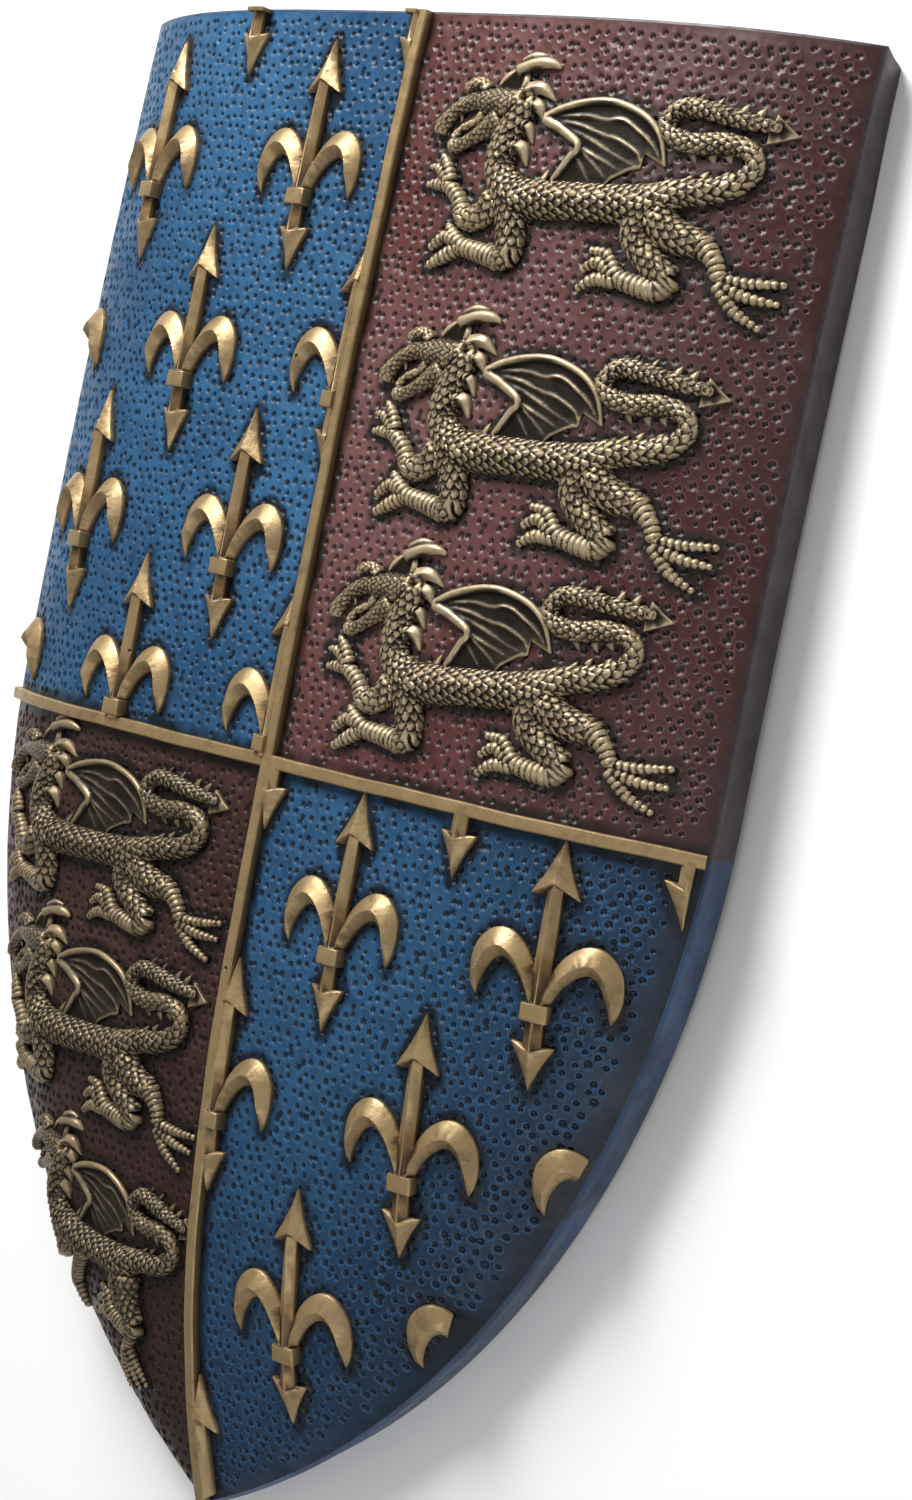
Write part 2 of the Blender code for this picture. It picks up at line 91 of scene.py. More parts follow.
# The dragon's square that is put on its place
SHOULDER_SQUARE = 27.0
SIDE_RADIUS = (HALF_WIDTH ** 2 + (SHOULDER + TIP_LENGTH) ** 2) / (2 * HALF_WIDTH)
SHIFT = (TIP_LENGTH - TOP_LENGTH) / 2
BASE = SIDE_DROP + END_DROP + EDGE_DEPTH - FOOT_TRIM

# Rounding of the rim, with one point on its way as inset and drop
ROUNDING = 0.0012
ROUNDING_DROP = 0.0011
ROUNDING_MIDDLE = (0.00035, 0.0003)
# Bars: play at the upright one's ends, how much lower the level one is, and their worn edges
BAR_END = 0.0006
CROSS_STEP = 0.0004
BAR_DRAFT = 0.0002
BAR_BEVEL = 0.0007
BAR_CROWN = 0.0001
# Figures: overlap with the bars, depth of their walls, play at the top edge and depth in the drawing
BAR_OVERLAP = 0.3 * BAR_WIDTH
ROOT = 0.0015
TOP_TRIM = 0.0008
UNDERSIDE = -1.2
# Left fleurs that stand further out are cut at the margin
LEFT_LIMIT = 0.13
FOOT_BEVEL = 0.001
HOLLOW_STEP = 0.002
HOLLOW_PLAY = 0.0006

# Fineness: voxels in squares, and triangles of a dragon and of each part of a fleur
DRAGON_VOXEL = 0.2
DRAGON_TRIANGLES = 56000
FLEUR_VOXEL = 0.16
FLEUR_TRIANGLES = 1000

# Pits: the rings of points are shares of a pit's radius, from the middle outwards
PIT_SPACING = 0.0051
PIT_SCATTER = 0.24
PIT_RADIUS = 0.00152
PIT_DEPTH = 0.00105
RING_SHARES = (0.0, 0.66, 1.06, 1.42)
RING_COUNTS = (1, 7, 8, 8)
RING_LEVELS = (-1.0, -0.78, 0.09, 0.0)
RING_DARKNESS = (1.0, 0.65, 0.0, 0.0)
LIP = RING_SHARES[2]
NO_PIT = 2.0
PIT_FROM_BAR = 0.0022
PIT_FROM_TOP = 0.004
PIT_UNDER_FIGURE = 0.0012
EDGE_GAP = 0.0005
PLAIN_TRIES = 2600
PLAIN_GAP = 0.001
PLAIN_FROM_PIT = 0.003

# Dark wash and painted shadow beside figures: reach; darkening along the rim: strength and reach; and the
# ground's painted shade
WASH_AND_SHADOW_REACH = 0.005
UPPER_RIM_DARKENING = (0.5, 0.008)
LOWER_RIM_DARKENING = (1.0, 0.007)
SHADE_TOP = 0.05
SHADE_LENGTH = 0.34
SHADE_WIDTH = 0.2
# Relief that is fully worn or washed, fine and coarse, and the height of the painted shade at the feet
FLEUR_RELIEF = (0.00012, 0.0005)
DRAGON_RELIEF = (0.0002, 0.0009)
BAR_RELIEF = (0.00016, 0.0006)
FIGURE_FOOT = 0.0016
BAR_FOOT = 0.0012
# Gold brushing of the lower dragons, next to the upper ones, turned down as painted shade: they lie in less
# light
LOWER_DRAGON_SHADE = 0.72


def side_x(y, inset=0.0):
    fall = np.maximum(SHOULDER - y, 0.0)
    reach = SIDE_RADIUS - inset
    return HALF_WIDTH - SIDE_RADIUS + np.sqrt(np.maximum(reach ** 2 - fall ** 2, 0.0))


def low_y(inset, half=0.0):
    return SHOULDER - math.sqrt((SIDE_RADIUS - inset) ** 2 - (SIDE_RADIUS - HALF_WIDTH + half) ** 2)


def rim_level(y):
    return -SIDE_DROP - END_DROP * np.where(y > 0, y / TOP_LENGTH, y / TIP_LENGTH) ** 2


def crest_level(y):
    tip_drop = SIDE_DROP + END_DROP + CREST_SLOPE * TIP_LENGTH
    upper = TOP_DROP * np.maximum(y / TOP_LENGTH, 0.0) ** 3
    lower = tip_drop * np.maximum(-y / TIP_LENGTH, 0.0) ** TIP_POWER
    return -CREST_SLOPE * y - upper - lower


def dome(y, share):
    arch = (1 - FLATNESS) * share ** 2 + FLATNESS * share ** 4
    crest = crest_level(y)
    return crest + (rim_level(y) - crest) * arch


def face_level(x, y):
    return dome(y, np.minimum(np.abs(x) / np.maximum(side_x(y), BAR_WIDTH), 1.2))


def on_face(points):
    """World places of points drawn as x, y and a height over the face."""
    x, y, height = np.asarray(points, float).T
    step = 0.0005
    slope_x = (face_level(x + step, y) - face_level(x - step, y)) / (2 * step)
    slope_y = (face_level(x, y + step) - face_level(x, y - step)) / (2 * step)
    normal = np.stack([-slope_x, -slope_y, np.ones_like(x)], 1)
    normal /= np.linalg.norm(normal, axis=1)[:, None]
    return np.stack([x, y, face_level(x, y)], 1) + normal * height[:, None] + (0, SHIFT, BASE)


def capsule_distance(points, lines, chunk=20000):
    """Distance from each point to the nearest line of (x, y, radius), less the radius there."""
    start, end = [], []
    for line in lines:
        start += line[:-1]
        end += line[1:]
    a = np.array(start, float)
    d = np.array(end, float) - a
    length = np.maximum((d[:, :2] ** 2).sum(1), 1e-12)
    result = []
    for first in range(0, len(points), chunk):
        p = points[first:first + chunk]
        rel = p[:, None, :2] - a[None, :, :2]
        t = np.clip((rel * d[None, :, :2]).sum(2) / length, 0, 1)
        gap = np.sqrt(((rel - t[..., None] * d[None, :, :2]) ** 2).sum(2))
        result.append((gap - a[:, 2] - t * d[:, 2]).min(1))
    return np.concatenate(result)


def smooth_line(line, step):
    """Points on a curve through all the points of a line, about step apart."""
    p = np.array(line, float)
    padded = np.vstack([2 * p[0] - p[1], p, 2 * p[-1] - p[-2]])
    made = []
    for i in range(len(p) - 1):
        p0, p1, p2, p3 = padded[i:i + 4]
        count = max(int(np.linalg.norm((p2 - p1)[:2]) / step), 1)
        for t in np.arange(count) / count:
            made.append(0.5 * (2 * p1 + (p2 - p0) * t + (2 * p0 - 5 * p1 + 4 * p2 - p3) * t * t
                               + (3 * p1 - p0 - 3 * p2 + p3) * t ** 3))
    made.append(p[-1])
    return [tuple(q) for q in made]


def linked(name, data):
    made = bpy.data.objects.new(name, data)
    scene.collection.objects.link(made)
    return made


def to_object(name, vertices, faces, materials, attributes=None, face_materials=None, sharp=None):
    """Makes one piece of the casting, held inside the solid's box."""
    mesh = bpy.data.meshes.new(name)
    inside = np.clip(vertices, np.array(LOADED[0]) + 1e-6, np.array(LOADED[1]) - 1e-6)
    mesh.from_pydata(inside.tolist(), [], [list(map(int, face)) for face in faces])
    for material in materials:
        mesh.materials.append(material)
    for key, values in (attributes or {}).items():
        attribute = mesh.attributes.new(key, "FLOAT", "POINT")
        attribute.data.foreach_set("value", np.asarray(values, np.float32))
    if face_materials is not None:
        mesh.polygons.foreach_set("material_index", np.asarray(face_materials, np.int32))
    mesh.shade_smooth()
    if sharp:
        mesh.set_sharp_from_angle(angle=math.radians(sharp))
    made = linked(name, mesh)
    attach(made, "root")
    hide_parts("shield_casting")


def arrays(shape):
    """Vertices and triangles of a bmesh, which is freed."""
    bmesh.ops.triangulate(shape, faces=shape.faces)
    shape.verts.index_update()
    vertices = np.array([v.co[:] for v in shape.verts])
    faces = np.array([[v.index for v in f.verts] for f in shape.faces])
    shape.free()
    return vertices, faces


def modified(shape, kind, **settings):
    """A new bmesh: the given one, which is freed, after one modifier."""
    mesh = bpy.data.meshes.new("holder")
    shape.to_mesh(mesh)
    shape.free()
    holder = linked("holder", mesh)
    modifier = holder.modifiers.new(kind, kind)
    for name, value in settings.items():
        setattr(modifier, name, value)
    graph = bpy.context.evaluated_depsgraph_get()
    result = bmesh.new()
    made = bpy.data.meshes.new_from_object(holder.evaluated_get(graph), depsgraph=graph)
    result.from_mesh(made)
    bpy.data.objects.remove(holder)
    bpy.data.meshes.remove(made)
    return result


def loft(rings):
    """A closed skin over rings of the same number of points, with flat ends."""
    shape = bmesh.new()
    rows = [[shape.verts.new(point) for point in ring] for ring in rings]
    for low, high in zip(rows, rows[1:]):
        for i in range(len(low)):
            j = (i + 1) % len(low)
            shape.faces.new((low[i], low[j], high[j], high[i]))
    shape.faces.new(rows[0][::-1])
    shape.faces.new(rows[-1])
    bmesh.ops.recalc_face_normals(shape, faces=shape.faces)
    return shape


def smooth(shape, factor):
    bmesh.ops.smooth_vert(shape, verts=shape.verts, factor=factor,
                          use_axis_x=True, use_axis_y=True, use_axis_z=True)


def open_below(shape, level):
    low = [vertex for vertex in shape.verts if vertex.co.z < level]
    bmesh.ops.delete(shape, geom=low, context="VERTS")


def merge(target, shape):
    """Adds a shape, which is freed, to the target."""
    mesh = bpy.data.meshes.new("merged")
    shape.to_mesh(mesh)
    shape.free()
    target.from_mesh(mesh)
    bpy.data.meshes.remove(mesh)


def leaf(line, edge, ridge, step=0.8, lean=0.0):
    """A ridged leaf along a line of (x, y, half width), whose crease is moved sideways by lean."""
    points = np.array(smooth_line(line, step))
    along = np.gradient(points[:, :2], axis=0)
    along /= np.linalg.norm(along, axis=1)[:, None]
    across = np.stack([-along[:, 1], along[:, 0]], 1)
    rings = []
    for (x, y, half), (ax, ay) in zip(points, across):
        half = max(half, 0.12)
        top = ridge * min(half / 1.6, 1.0)
        low = min(edge, 0.6 * top)
        ring = []
        for offset, level in ((-1, UNDERSIDE), (-1, low), (lean, top), (1, low), (1, UNDERSIDE)):
            ring.append((x + ax * half * offset, y + ay * half * offset, level))
        rings.append(ring)
    return loft(rings)


def spear(base_y, tip_y, half_width, barb):
    """A ridged spear head with two barbs."""
    rings = []
    for t in np.linspace(0.02, 1.0, 14):
        half = half_width * (t ** 0.9 - 0.12 * math.sin(math.pi * t))
        outer = tip_y + (base_y - tip_y) * t
        inner = outer - (barb * t ** 3) * math.copysign(1, base_y - tip_y)
        top = 0.5 + 2.1 * t ** 0.7
        low = 0.35 * top
        rings.append([(-half, outer, UNDERSIDE), (-half, outer, low), (0, inner, top), (half, outer, low),
                      (half, outer, UNDERSIDE)])
    return loft(rings)


def rounded_box(centre, size, bevel):
    shape = bmesh.new()
    bmesh.ops.create_cube(shape, size=1.0)
    bmesh.ops.scale(shape, verts=shape.verts, vec=size)
    bmesh.ops.bevel(shape, geom=shape.edges, offset=bevel, segments=3, profile=0.6, affect="EDGES")
    bmesh.ops.translate(shape, verts=shape.verts, vec=centre)
    return shape


def fleur(petals, shaft):
    """A fleur-de-lis about its collar, in squares, with left (-1) and right (1) petals as listed."""
    petal = [(0.7, 0.6, 1.2), (1.3, 3.4, 1.45), (3.2, 7.2, 1.75), (6.0, 10.4, 2.35), (9.2, 11.6, 2.8),
             (11.9, 9.7, 2.5), (13.2, 6.4, 1.8), (13.5, 3.2, 1.0), (13.1, 0.5, 0.15)]
    shape = bmesh.new()
    for side in petals:
        merge(shape, leaf([(side * x, y, half) for x, y, half in petal], 0.7, 2.6, lean=-0.25 * side))
    if shaft:
        merge(shape, leaf([(0, -8, 1.7), (0, 0, 1.75), (0, 12, 1.7), (0, 26, 1.5)], 1.2, 2.5, step=3))
        merge(shape, spear(21.9, 33.4, 5.0, 2.6))
        merge(shape, spear(-6.1, -15.1, 4.2, 1.4))
        merge(shape, rounded_box((0, 0, 0.4), (5.2, 3.5, 4.6), 0.4))
    shape = modified(shape, "REMESH", mode="VOXEL", voxel_size=FLEUR_VOXEL)
    smooth(shape, 0.35)
    open_below(shape, -0.7)
    bmesh.ops.triangulate(shape, faces=shape.faces)
    parts = len(petals) + shaft
    return modified(shape, "DECIMATE", ratio=FLEUR_TRIANGLES * parts / len(shape.faces))


def cut(shape, point, normal):
    """Cuts away what lies beyond a plane, and closes the cut with a wall down into the face."""
    made = bmesh.ops.bisect_plane(
        shape, geom=shape.verts[:] + shape.edges[:] + shape.faces[:], plane_co=point, plane_no=normal,
        clear_outer=True)
    edges = [item for item in made["geom_cut"] if isinstance(item, bmesh.types.BMEdge)]
    wall = bmesh.ops.extrude_edge_only(shape, edges=edges)
    for item in wall["geom"]:
        if isinstance(item, bmesh.types.BMVert):
            item.co.z = -ROOT


def spread(owners, vectors, count):
    """The sum of the vectors that each of count owners is given."""
    return np.stack([np.bincount(owners, weights=column, minlength=count) for column in vectors.T], 1)


def relief_attributes(vertices, faces, rounds=(3, 14)):
    """How far each vertex stands out from its smoothed surroundings, at a fine and a coarse scale."""
    sides = np.vstack([faces[:, [0, 1]], faces[:, [1, 2]], faces[:, [2, 0]]])
    edges = np.unique(np.sort(sides, axis=1), axis=0)
    count = np.bincount(edges.ravel(), minlength=len(vertices)).astype(float)[:, None]
    count[count == 0] = 1
    a, b, c = (vertices[faces[:, i]] for i in range(3))
    cross = np.cross(b - a, c - a)
    normal = sum(spread(faces[:, i], cross, len(vertices)) for i in range(3))
    normal /= np.maximum(np.linalg.norm(normal, axis=1), 1e-12)[:, None]
    soft = vertices.copy()
    results = []
    for number in range(1, max(rounds) + 1):
        total = sum(spread(edges[:, i], soft[edges[:, 1 - i]], len(soft)) for i in range(2))
        soft = 0.4 * soft + 0.6 * total / count
        if number in rounds:
            results.append(((vertices - soft) * normal).sum(1))
    return results


class Paint:
    """A material's node tree, built call by call."""

    def __init__(self, name):
        self.material = bpy.data.materials.new(name)
        self.material.use_nodes = True
        self.tree = self.material.node_tree
        self.shader = self.tree.nodes["Principled BSDF"]
        self.place = self.node("ShaderNodeTexCoord").outputs["Object"]

    def node(self, kind, values=(), **settings):
        made = self.tree.nodes.new(kind)
        for name, value in settings.items():
            setattr(made, name, value)
        for key, value in dict(values).items():
            self.put(made.inputs[key], value)
        return made

    def put(self, socket, value):
        if isinstance(value, bpy.types.NodeSocket):
            self.tree.links.new(value, socket)
        elif hasattr(socket.default_value, "__len__") and len(value) == 3:
            socket.default_value = (*value, 1.0)[:len(socket.default_value)]
        else:
            socket.default_value = value

    def attribute(self, name):
        return self.node("ShaderNodeAttribute", attribute_name=name).outputs["Fac"]

    def noise(self, scale, detail=4.0, roughness=0.55, distortion=0.0):
        made = self.node("ShaderNodeTexNoise", {
            "Vector": self.place, "Scale": scale, "Detail": detail, "Roughness": roughness,
            "Distortion": distortion})
        return made.outputs["Fac"]

    def cloud(self, noise, *limits):
        return self.span(self.noise(*noise), *limits)

    def span(self, value, low, high, to_low=0.0, to_high=1.0):
        made = self.node("ShaderNodeMapRange", {
            "Value": value, "From Min": low, "From Max": high, "To Min": to_low, "To Max": to_high},
            interpolation_type="SMOOTHSTEP")
        return made.outputs["Result"]

    def maths(self, a, b, operation="MULTIPLY"):
        made = self.node("ShaderNodeMath", operation=operation, use_clamp=operation != "ADD")
        self.put(made.inputs[0], a)
        self.put(made.inputs[1], b)
        return made.outputs[0]

    def mix(self, share, a, b):
        made = self.node("ShaderNodeMix", data_type="RGBA", blend_type="MIX")
        self.put(made.inputs["Factor"], share)
        self.put(made.inputs[6], a)
        self.put(made.inputs[7], b)
        return made.outputs[2]

    def bump(self, height, distance, strength=1.0, normal=None):
        made = self.node("ShaderNodeBump", {"Height": height, "Distance": distance, "Strength": strength})
        if normal:
            self.put(made.inputs["Normal"], normal)
        return made.outputs["Normal"]

    def finish(self, **inputs):
        for name, value in inputs.items():
            self.put(self.shader.inputs[name.replace("_", " ")], value)
        return self.material


def ground_paint(name, main, light, deep, wash, gloss, coat):
    """Satin paint over the pitted ground, with a dark wash in the pits, dark wash and painted shadow beside
    the figures, darkening along the rim, painted shade, and painted highlights on the pit lips and in
    glints.
    """
    paint = Paint(name)
    broad = paint.noise(9.0, 3.0)
    fine = paint.noise(160.0, 5.0, 0.65)
    pit, shade, lip, halo, rim = map(paint.attribute, ("pit", "shade", "lip", "halo", "rim"))
    colour = paint.mix(paint.span(broad, 0.3, 0.7), main, light)
    colour = paint.mix(paint.span(fine, 0.35, 0.75, 0.0, 0.5), colour, deep)
    # Painted shade: darker towards the bottom, the right and the far left
    colour = paint.mix(shade, colour, deep)
    # Painted highlight on each pit's lip
    colour = paint.mix(paint.maths(lip, 0.55), colour, light)
    inside = paint.maths(paint.span(pit, 0.1, 0.6), paint.span(pit, 0.72, 1.0, 1.0, 0.45))
    colour = paint.mix(paint.maths(inside, 0.8), colour, wash)
    # Dark wash and painted shadow beside the figures and bars, patchy
    mottle = paint.cloud((55.0, 4.0), 0.25, 0.7)
    edge = paint.maths(paint.span(halo, 0.15, 0.95), paint.maths(mottle, 0.35, "ADD"))
    colour = paint.mix(paint.maths(edge, 0.95), colour, wash)
    # Darkening along the rim
    colour = paint.mix(paint.maths(rim, 0.8), colour, wash)
    # Painted glints: fine speckles lightened at random
    glint = paint.cloud((420.0, 2.0), 0.66, 0.8, 0.0, 0.35)
    colour = paint.mix(glint, colour, light)
    rough = paint.cloud((70.0, 5.0), 0.25, 0.75, 0.34, 0.52)
    normal = paint.bump(paint.noise(40.0, 3.0), 0.0012, 0.35, paint.bump(fine, 0.0004, 0.5))
    return paint.finish(Base_Color=colour, Roughness=rough, Normal=normal, Coat_Weight=coat,
                        Coat_Roughness=0.3, Specular_IOR_Level=gloss)


def gold_paint():
    """Antique gold, rubbed bright on its edges, with brown wash in the hollows, painted shade at the foot
    and a few pinholes.
    """
    paint = Paint("antique_gold_leaf")
    wear, cavity, low = map(paint.attribute, ("wear", "cavity", "low"))
    patches = paint.cloud((60.0, 5.0), 0.3, 0.7)
    colour = paint.mix(patches, (0.205, 0.123, 0.049), (0.305, 0.193, 0.084))
    colour = paint.mix(paint.span(wear, 0.25, 0.9, 0.0, 0.75), colour, (0.38, 0.275, 0.138))
    stain = paint.cloud((110.0, 6.0, 0.7), 0.52, 0.68)
    colour = paint.mix(paint.maths(stain, 0.35), colour, (0.075, 0.044, 0.018))
    colour = paint.mix(paint.maths(cavity, 0.9), colour, (0.03, 0.018, 0.008))
    # Painted shade at the foot of the figure, where it meets the ground
    colour = paint.mix(paint.maths(low, 0.88), colour, (0.022, 0.014, 0.008))
    hole = paint.node("ShaderNodeTexVoronoi", {"Vector": paint.place, "Scale": 95.0, "Randomness": 1.0})
    chance = paint.cloud((23.0, 1.0), 0.58, 0.64)
    pin = paint.maths(paint.span(hole.outputs["Distance"], 0.05, 0.09, 1.0, 0.0), chance)
    colour = paint.mix(pin, colour, (0.02, 0.012, 0.006))
    rough = paint.cloud((130.0, 5.0), 0.3, 0.75, 0.34, 0.56)
    normal = paint.bump(paint.noise(240.0, 5.0, 0.6), 0.0004, 0.6)
    normal = paint.bump(pin, -0.0008, 0.7, normal)
    return paint.finish(Base_Color=colour, Roughness=rough, Metallic=0.55, Normal=normal)


def bronze_paint():
    """Black-brown dragons, dry-brushed with gold on every raised scale and edge, with dark hollows and
    painted shade at the foot.
    """
    paint = Paint("dragon_bronze_brushed")
    wear, cavity, low = map(paint.attribute, ("wear", "cavity", "low"))
    patches = paint.cloud((45.0, 5.0), 0.3, 0.7)
    colour = paint.mix(patches, (0.018, 0.013, 0.009), (0.04, 0.029, 0.018))
    brushed = paint.maths(paint.span(wear, 0.18, 0.85),
                          paint.cloud((150.0, 5.0, 0.7), 0.2, 0.6, 0.4, 1.0))
    colour = paint.mix(brushed, colour, (0.33, 0.245, 0.135))
    colour = paint.mix(paint.span(wear, 0.6, 1.0, 0.0, 0.55), colour, (0.56, 0.455, 0.3))
    colour = paint.mix(paint.maths(cavity, 0.92), colour, (0.01, 0.008, 0.007))
    # Painted shade at the foot of the figure, where it meets the ground
    colour = paint.mix(paint.maths(low, 0.9), colour, (0.012, 0.01, 0.009))
    rough = paint.cloud((130.0, 5.0), 0.3, 0.75, 0.34, 0.58)
    metal = paint.span(brushed, 0.0, 1.0, 0.1, 0.55)
    gloss = paint.span(paint.maths(cavity, low, "MAXIMUM"), 0.1, 0.7, 0.4, 0.03)
    normal = paint.bump(paint.noise(330.0, 4.0, 0.6), 0.00035, 0.6)
    return paint.finish(Base_Color=colour, Roughness=rough, Metallic=metal, Normal=normal,
                        Specular_IOR_Level=gloss)


def plain_paint(name, main, light, wash, rough_low, rough_high, grain):
    """A painted or bare cast surface with uneven colour, scuffs and a grainy bump."""
    paint = Paint(name)
    colour = paint.mix(paint.cloud((24.0, 5.0, 0.65), 0.3, 0.7), main, light)
    colour = paint.mix(paint.cloud((75.0, 6.0, 0.7), 0.42, 0.72, 0.0, 0.75), colour, wash)
    scuff = paint.cloud((260.0, 3.0, 0.7, 1.5), 0.68, 0.76, 0.0, 0.5)
    colour = paint.mix(scuff, colour, light)
    rough = paint.cloud((90.0, 5.0), 0.3, 0.75, rough_low, rough_high)
    normal = paint.bump(paint.noise(300.0, 5.0, 0.65), 0.0005, grain)
    normal = paint.bump(paint.noise(28.0, 3.0), 0.002, grain * 0.5, normal)
    return paint.finish(Base_Color=colour, Roughness=rough, Normal=normal)


AZURE = ground_paint("azure_ground", (0.012, 0.064, 0.15), (0.03, 0.118, 0.25), (0.004, 0.012, 0.028),
                     (0.002, 0.005, 0.01), 0.28, 0.02)
# The gules ground's light colour is mauve-grey: partly tone that varies at random, partly painted sheen
GULES = ground_paint("gules_ground", (0.088, 0.017, 0.013), (0.15, 0.066, 0.062), (0.02, 0.003, 0.002),
                     (0.007, 0.004, 0.004), 0.4, 0.08)
# A darker copy of the gules ground, as painted shade, for the lower left quarter
GULES_SHADED = ground_paint("gules_ground_shaded", (0.04, 0.015, 0.012), (0.068, 0.03, 0.025),
                         (0.014, 0.006, 0.005), (0.005, 0.003, 0.003), 0.25, 0.02)
GOLD = gold_paint()
BRONZE = bronze_paint()
BAND_RED = plain_paint("band_slate", (0.03, 0.018, 0.022), (0.056, 0.036, 0.043), (0.008, 0.005, 0.006),
                       0.4, 0.6, 0.5)
BAND_BLUE = plain_paint("band_navy", (0.009, 0.033, 0.09), (0.022, 0.07, 0.165), (0.003, 0.007, 0.016),
                        0.36, 0.56, 0.5)
BACK = plain_paint("bare_back", (0.06, 0.048, 0.04), (0.1, 0.084, 0.07), (0.03, 0.024, 0.02),
                   0.6, 0.85, 0.8)


# The dragon's drawing, in squares, as in the solid but with its finer pieces
SPINE = [(21.5, 18, 2.3), (20.6, 15, 2.6), (19, 11.5, 3.0), (18.2, 7.5, 3.0), (19.2, 3.6, 3.1),
         (23.5, 0.2, 3.6), (30, -0.2, 3.5), (38, 0, 3.4), (46, 0.3, 3.3), (54, 1, 3.6),
         (60, 3.6, 2.4), (65, 4.6, 2.1), (70, 6.4, 1.9), (73, 9.6, 1.5), (71.8, 12.8, 1.5),
         (67, 14, 1.6), (61, 13.2, 1.6), (56.6, 14.1, 1.5), (54.8, 16.6, 1.4),
         (56.4, 19.3, 1.4), (60, 19.9, 1.5), (68, 18.7, 1.3), (75.3, 17.9, 0.9)]
FAR_FORE = [(19, -1, 2.6), (16.5, -4.2, 2.3), (13.2, -5.2, 2.1), (11.6, -4, 1.9), (9.7, -1.3, 1.5),
            (6.6, 1, 1.4)]
NEAR_FORE = [(22.5, 0, 3.4), (24.6, -6.5, 2.9), (25.2, -11, 2.6), (23, -12.4, 2.2), (18.5, -11.6, 1.8),
             (12.5, -10.6, 1.6)]
NEAR_HIND = [(54, 0, 3.5), (53.4, -5, 3.0), (56.5, -9, 2.5), (61.5, -12.6, 2.4), (60, -14.8, 2.1),
             (56, -14.6, 1.8), (51, -13.6, 1.6)]
FAR_HIND = [(56.5, -1.5, 3.4), (61, -4.3, 2.9), (66.4, -5.2, 2.3), (69.4, -8, 1.5), (71.2, -11.5, 1.3)]
FAR_CLAWS = [[(6.6, 1, 1.3), (3, 1.2, 0.9), (0.4, 1, 0.4)],
             [(6.4, 1.8, 1.3), (3.2, 4.2, 0.9), (0.3, 4.6, 0.4)],
             [(6.8, 2, 1.2), (4.6, 5.6, 0.9), (2.6, 7.2, 0.4)]]
NEAR_CLAWS = [[(12.5, -10, 1.3), (9.5, -7.8, 0.9), (8.2, -6.5, 0.5)],
              [(12.5, -10.2, 1.4), (8.5, -9, 1.1), (4.8, -11.4, 0.6)],
              [(13, -10.8, 1.4), (8.6, -13.2, 1.1), (5.2, -15, 0.6)]]
HIND_TOES = [[(51, -13, 1.3), (48, -9.4, 0.9), (44.2, -8.8, 0.5)],
             [(50.6, -13.4, 1.3), (46.4, -11, 1.0), (43, -12.8, 0.5)],
             [(51, -14.2, 1.3), (46.2, -14.4, 1.0), (42.9, -16.4, 0.5)]]
FAR_TOES = [[(71, -11.4, 1.1), (76, -11.3, 0.8), (82.6, -10.5, 0.4)],
            [(71, -12, 1.1), (76, -13.8, 0.9), (81.8, -14.3, 0.4)],
            [(70.8, -12.4, 1.1), (74.6, -16.6, 0.9), (79.6, -19.4, 0.4)]]
HEAD = [[(21, 18.5, 2.5), (17.5, 17.8, 3.0), (13.6, 18.2, 2.7), (10.4, 18.2, 2.0)],
        [(11.5, 18.4, 1.9), (8.2, 18.0, 1.5), (5.2, 16.8, 1.3), (3.0, 15.0, 1.25), (1.4, 12.8, 1.6),
         (1.2, 11.2, 1.2)],
        [(16, 15.2, 2.5), (12.9, 12.8, 1.7), (10.2, 11, 1.2), (7.6, 9.6, 1.1), (5.4, 8.9, 1.4),
         (4.8, 10.0, 1.0)],
        [(4.9, 10.6, 0.8), (5.7, 12.1, 0.6), (7.5, 13.3, 0.6), (9.5, 14.1, 0.6), (10.8, 15.8, 0.7)],
        [(5.6, 20.4, 0.9), (7.5, 21.4, 1.2), (9.5, 21.6, 1.2), (11.5, 20.4, 1.4)],
        [(6.4, 19.2, 0.7), (8.4, 20.0, 0.8), (10.4, 19.6, 0.7)],
        [(18, 24.6, 1.3), (22, 26, 1.3), (25.5, 26.3, 1.1), (28, 25.6, 0.4)],
        [(18.5, 26.4, 0.8), (21.5, 27.6, 0.9), (24.4, 27.7, 0.3)],
        [(1.5, 14.3, 0.7), (0.9, 13.6, 0.7)], [(2.6, 12.6, 0.5), (2.9, 10.9, 0.2)],
        [(5.4, 15.2, 0.5), (5.6, 13.7, 0.2)], [(4.7, 10.6, 0.5), (4.3, 12.4, 0.2)],
        [(7.6, 12.4, 0.5), (7.3, 14.2, 0.2)]]
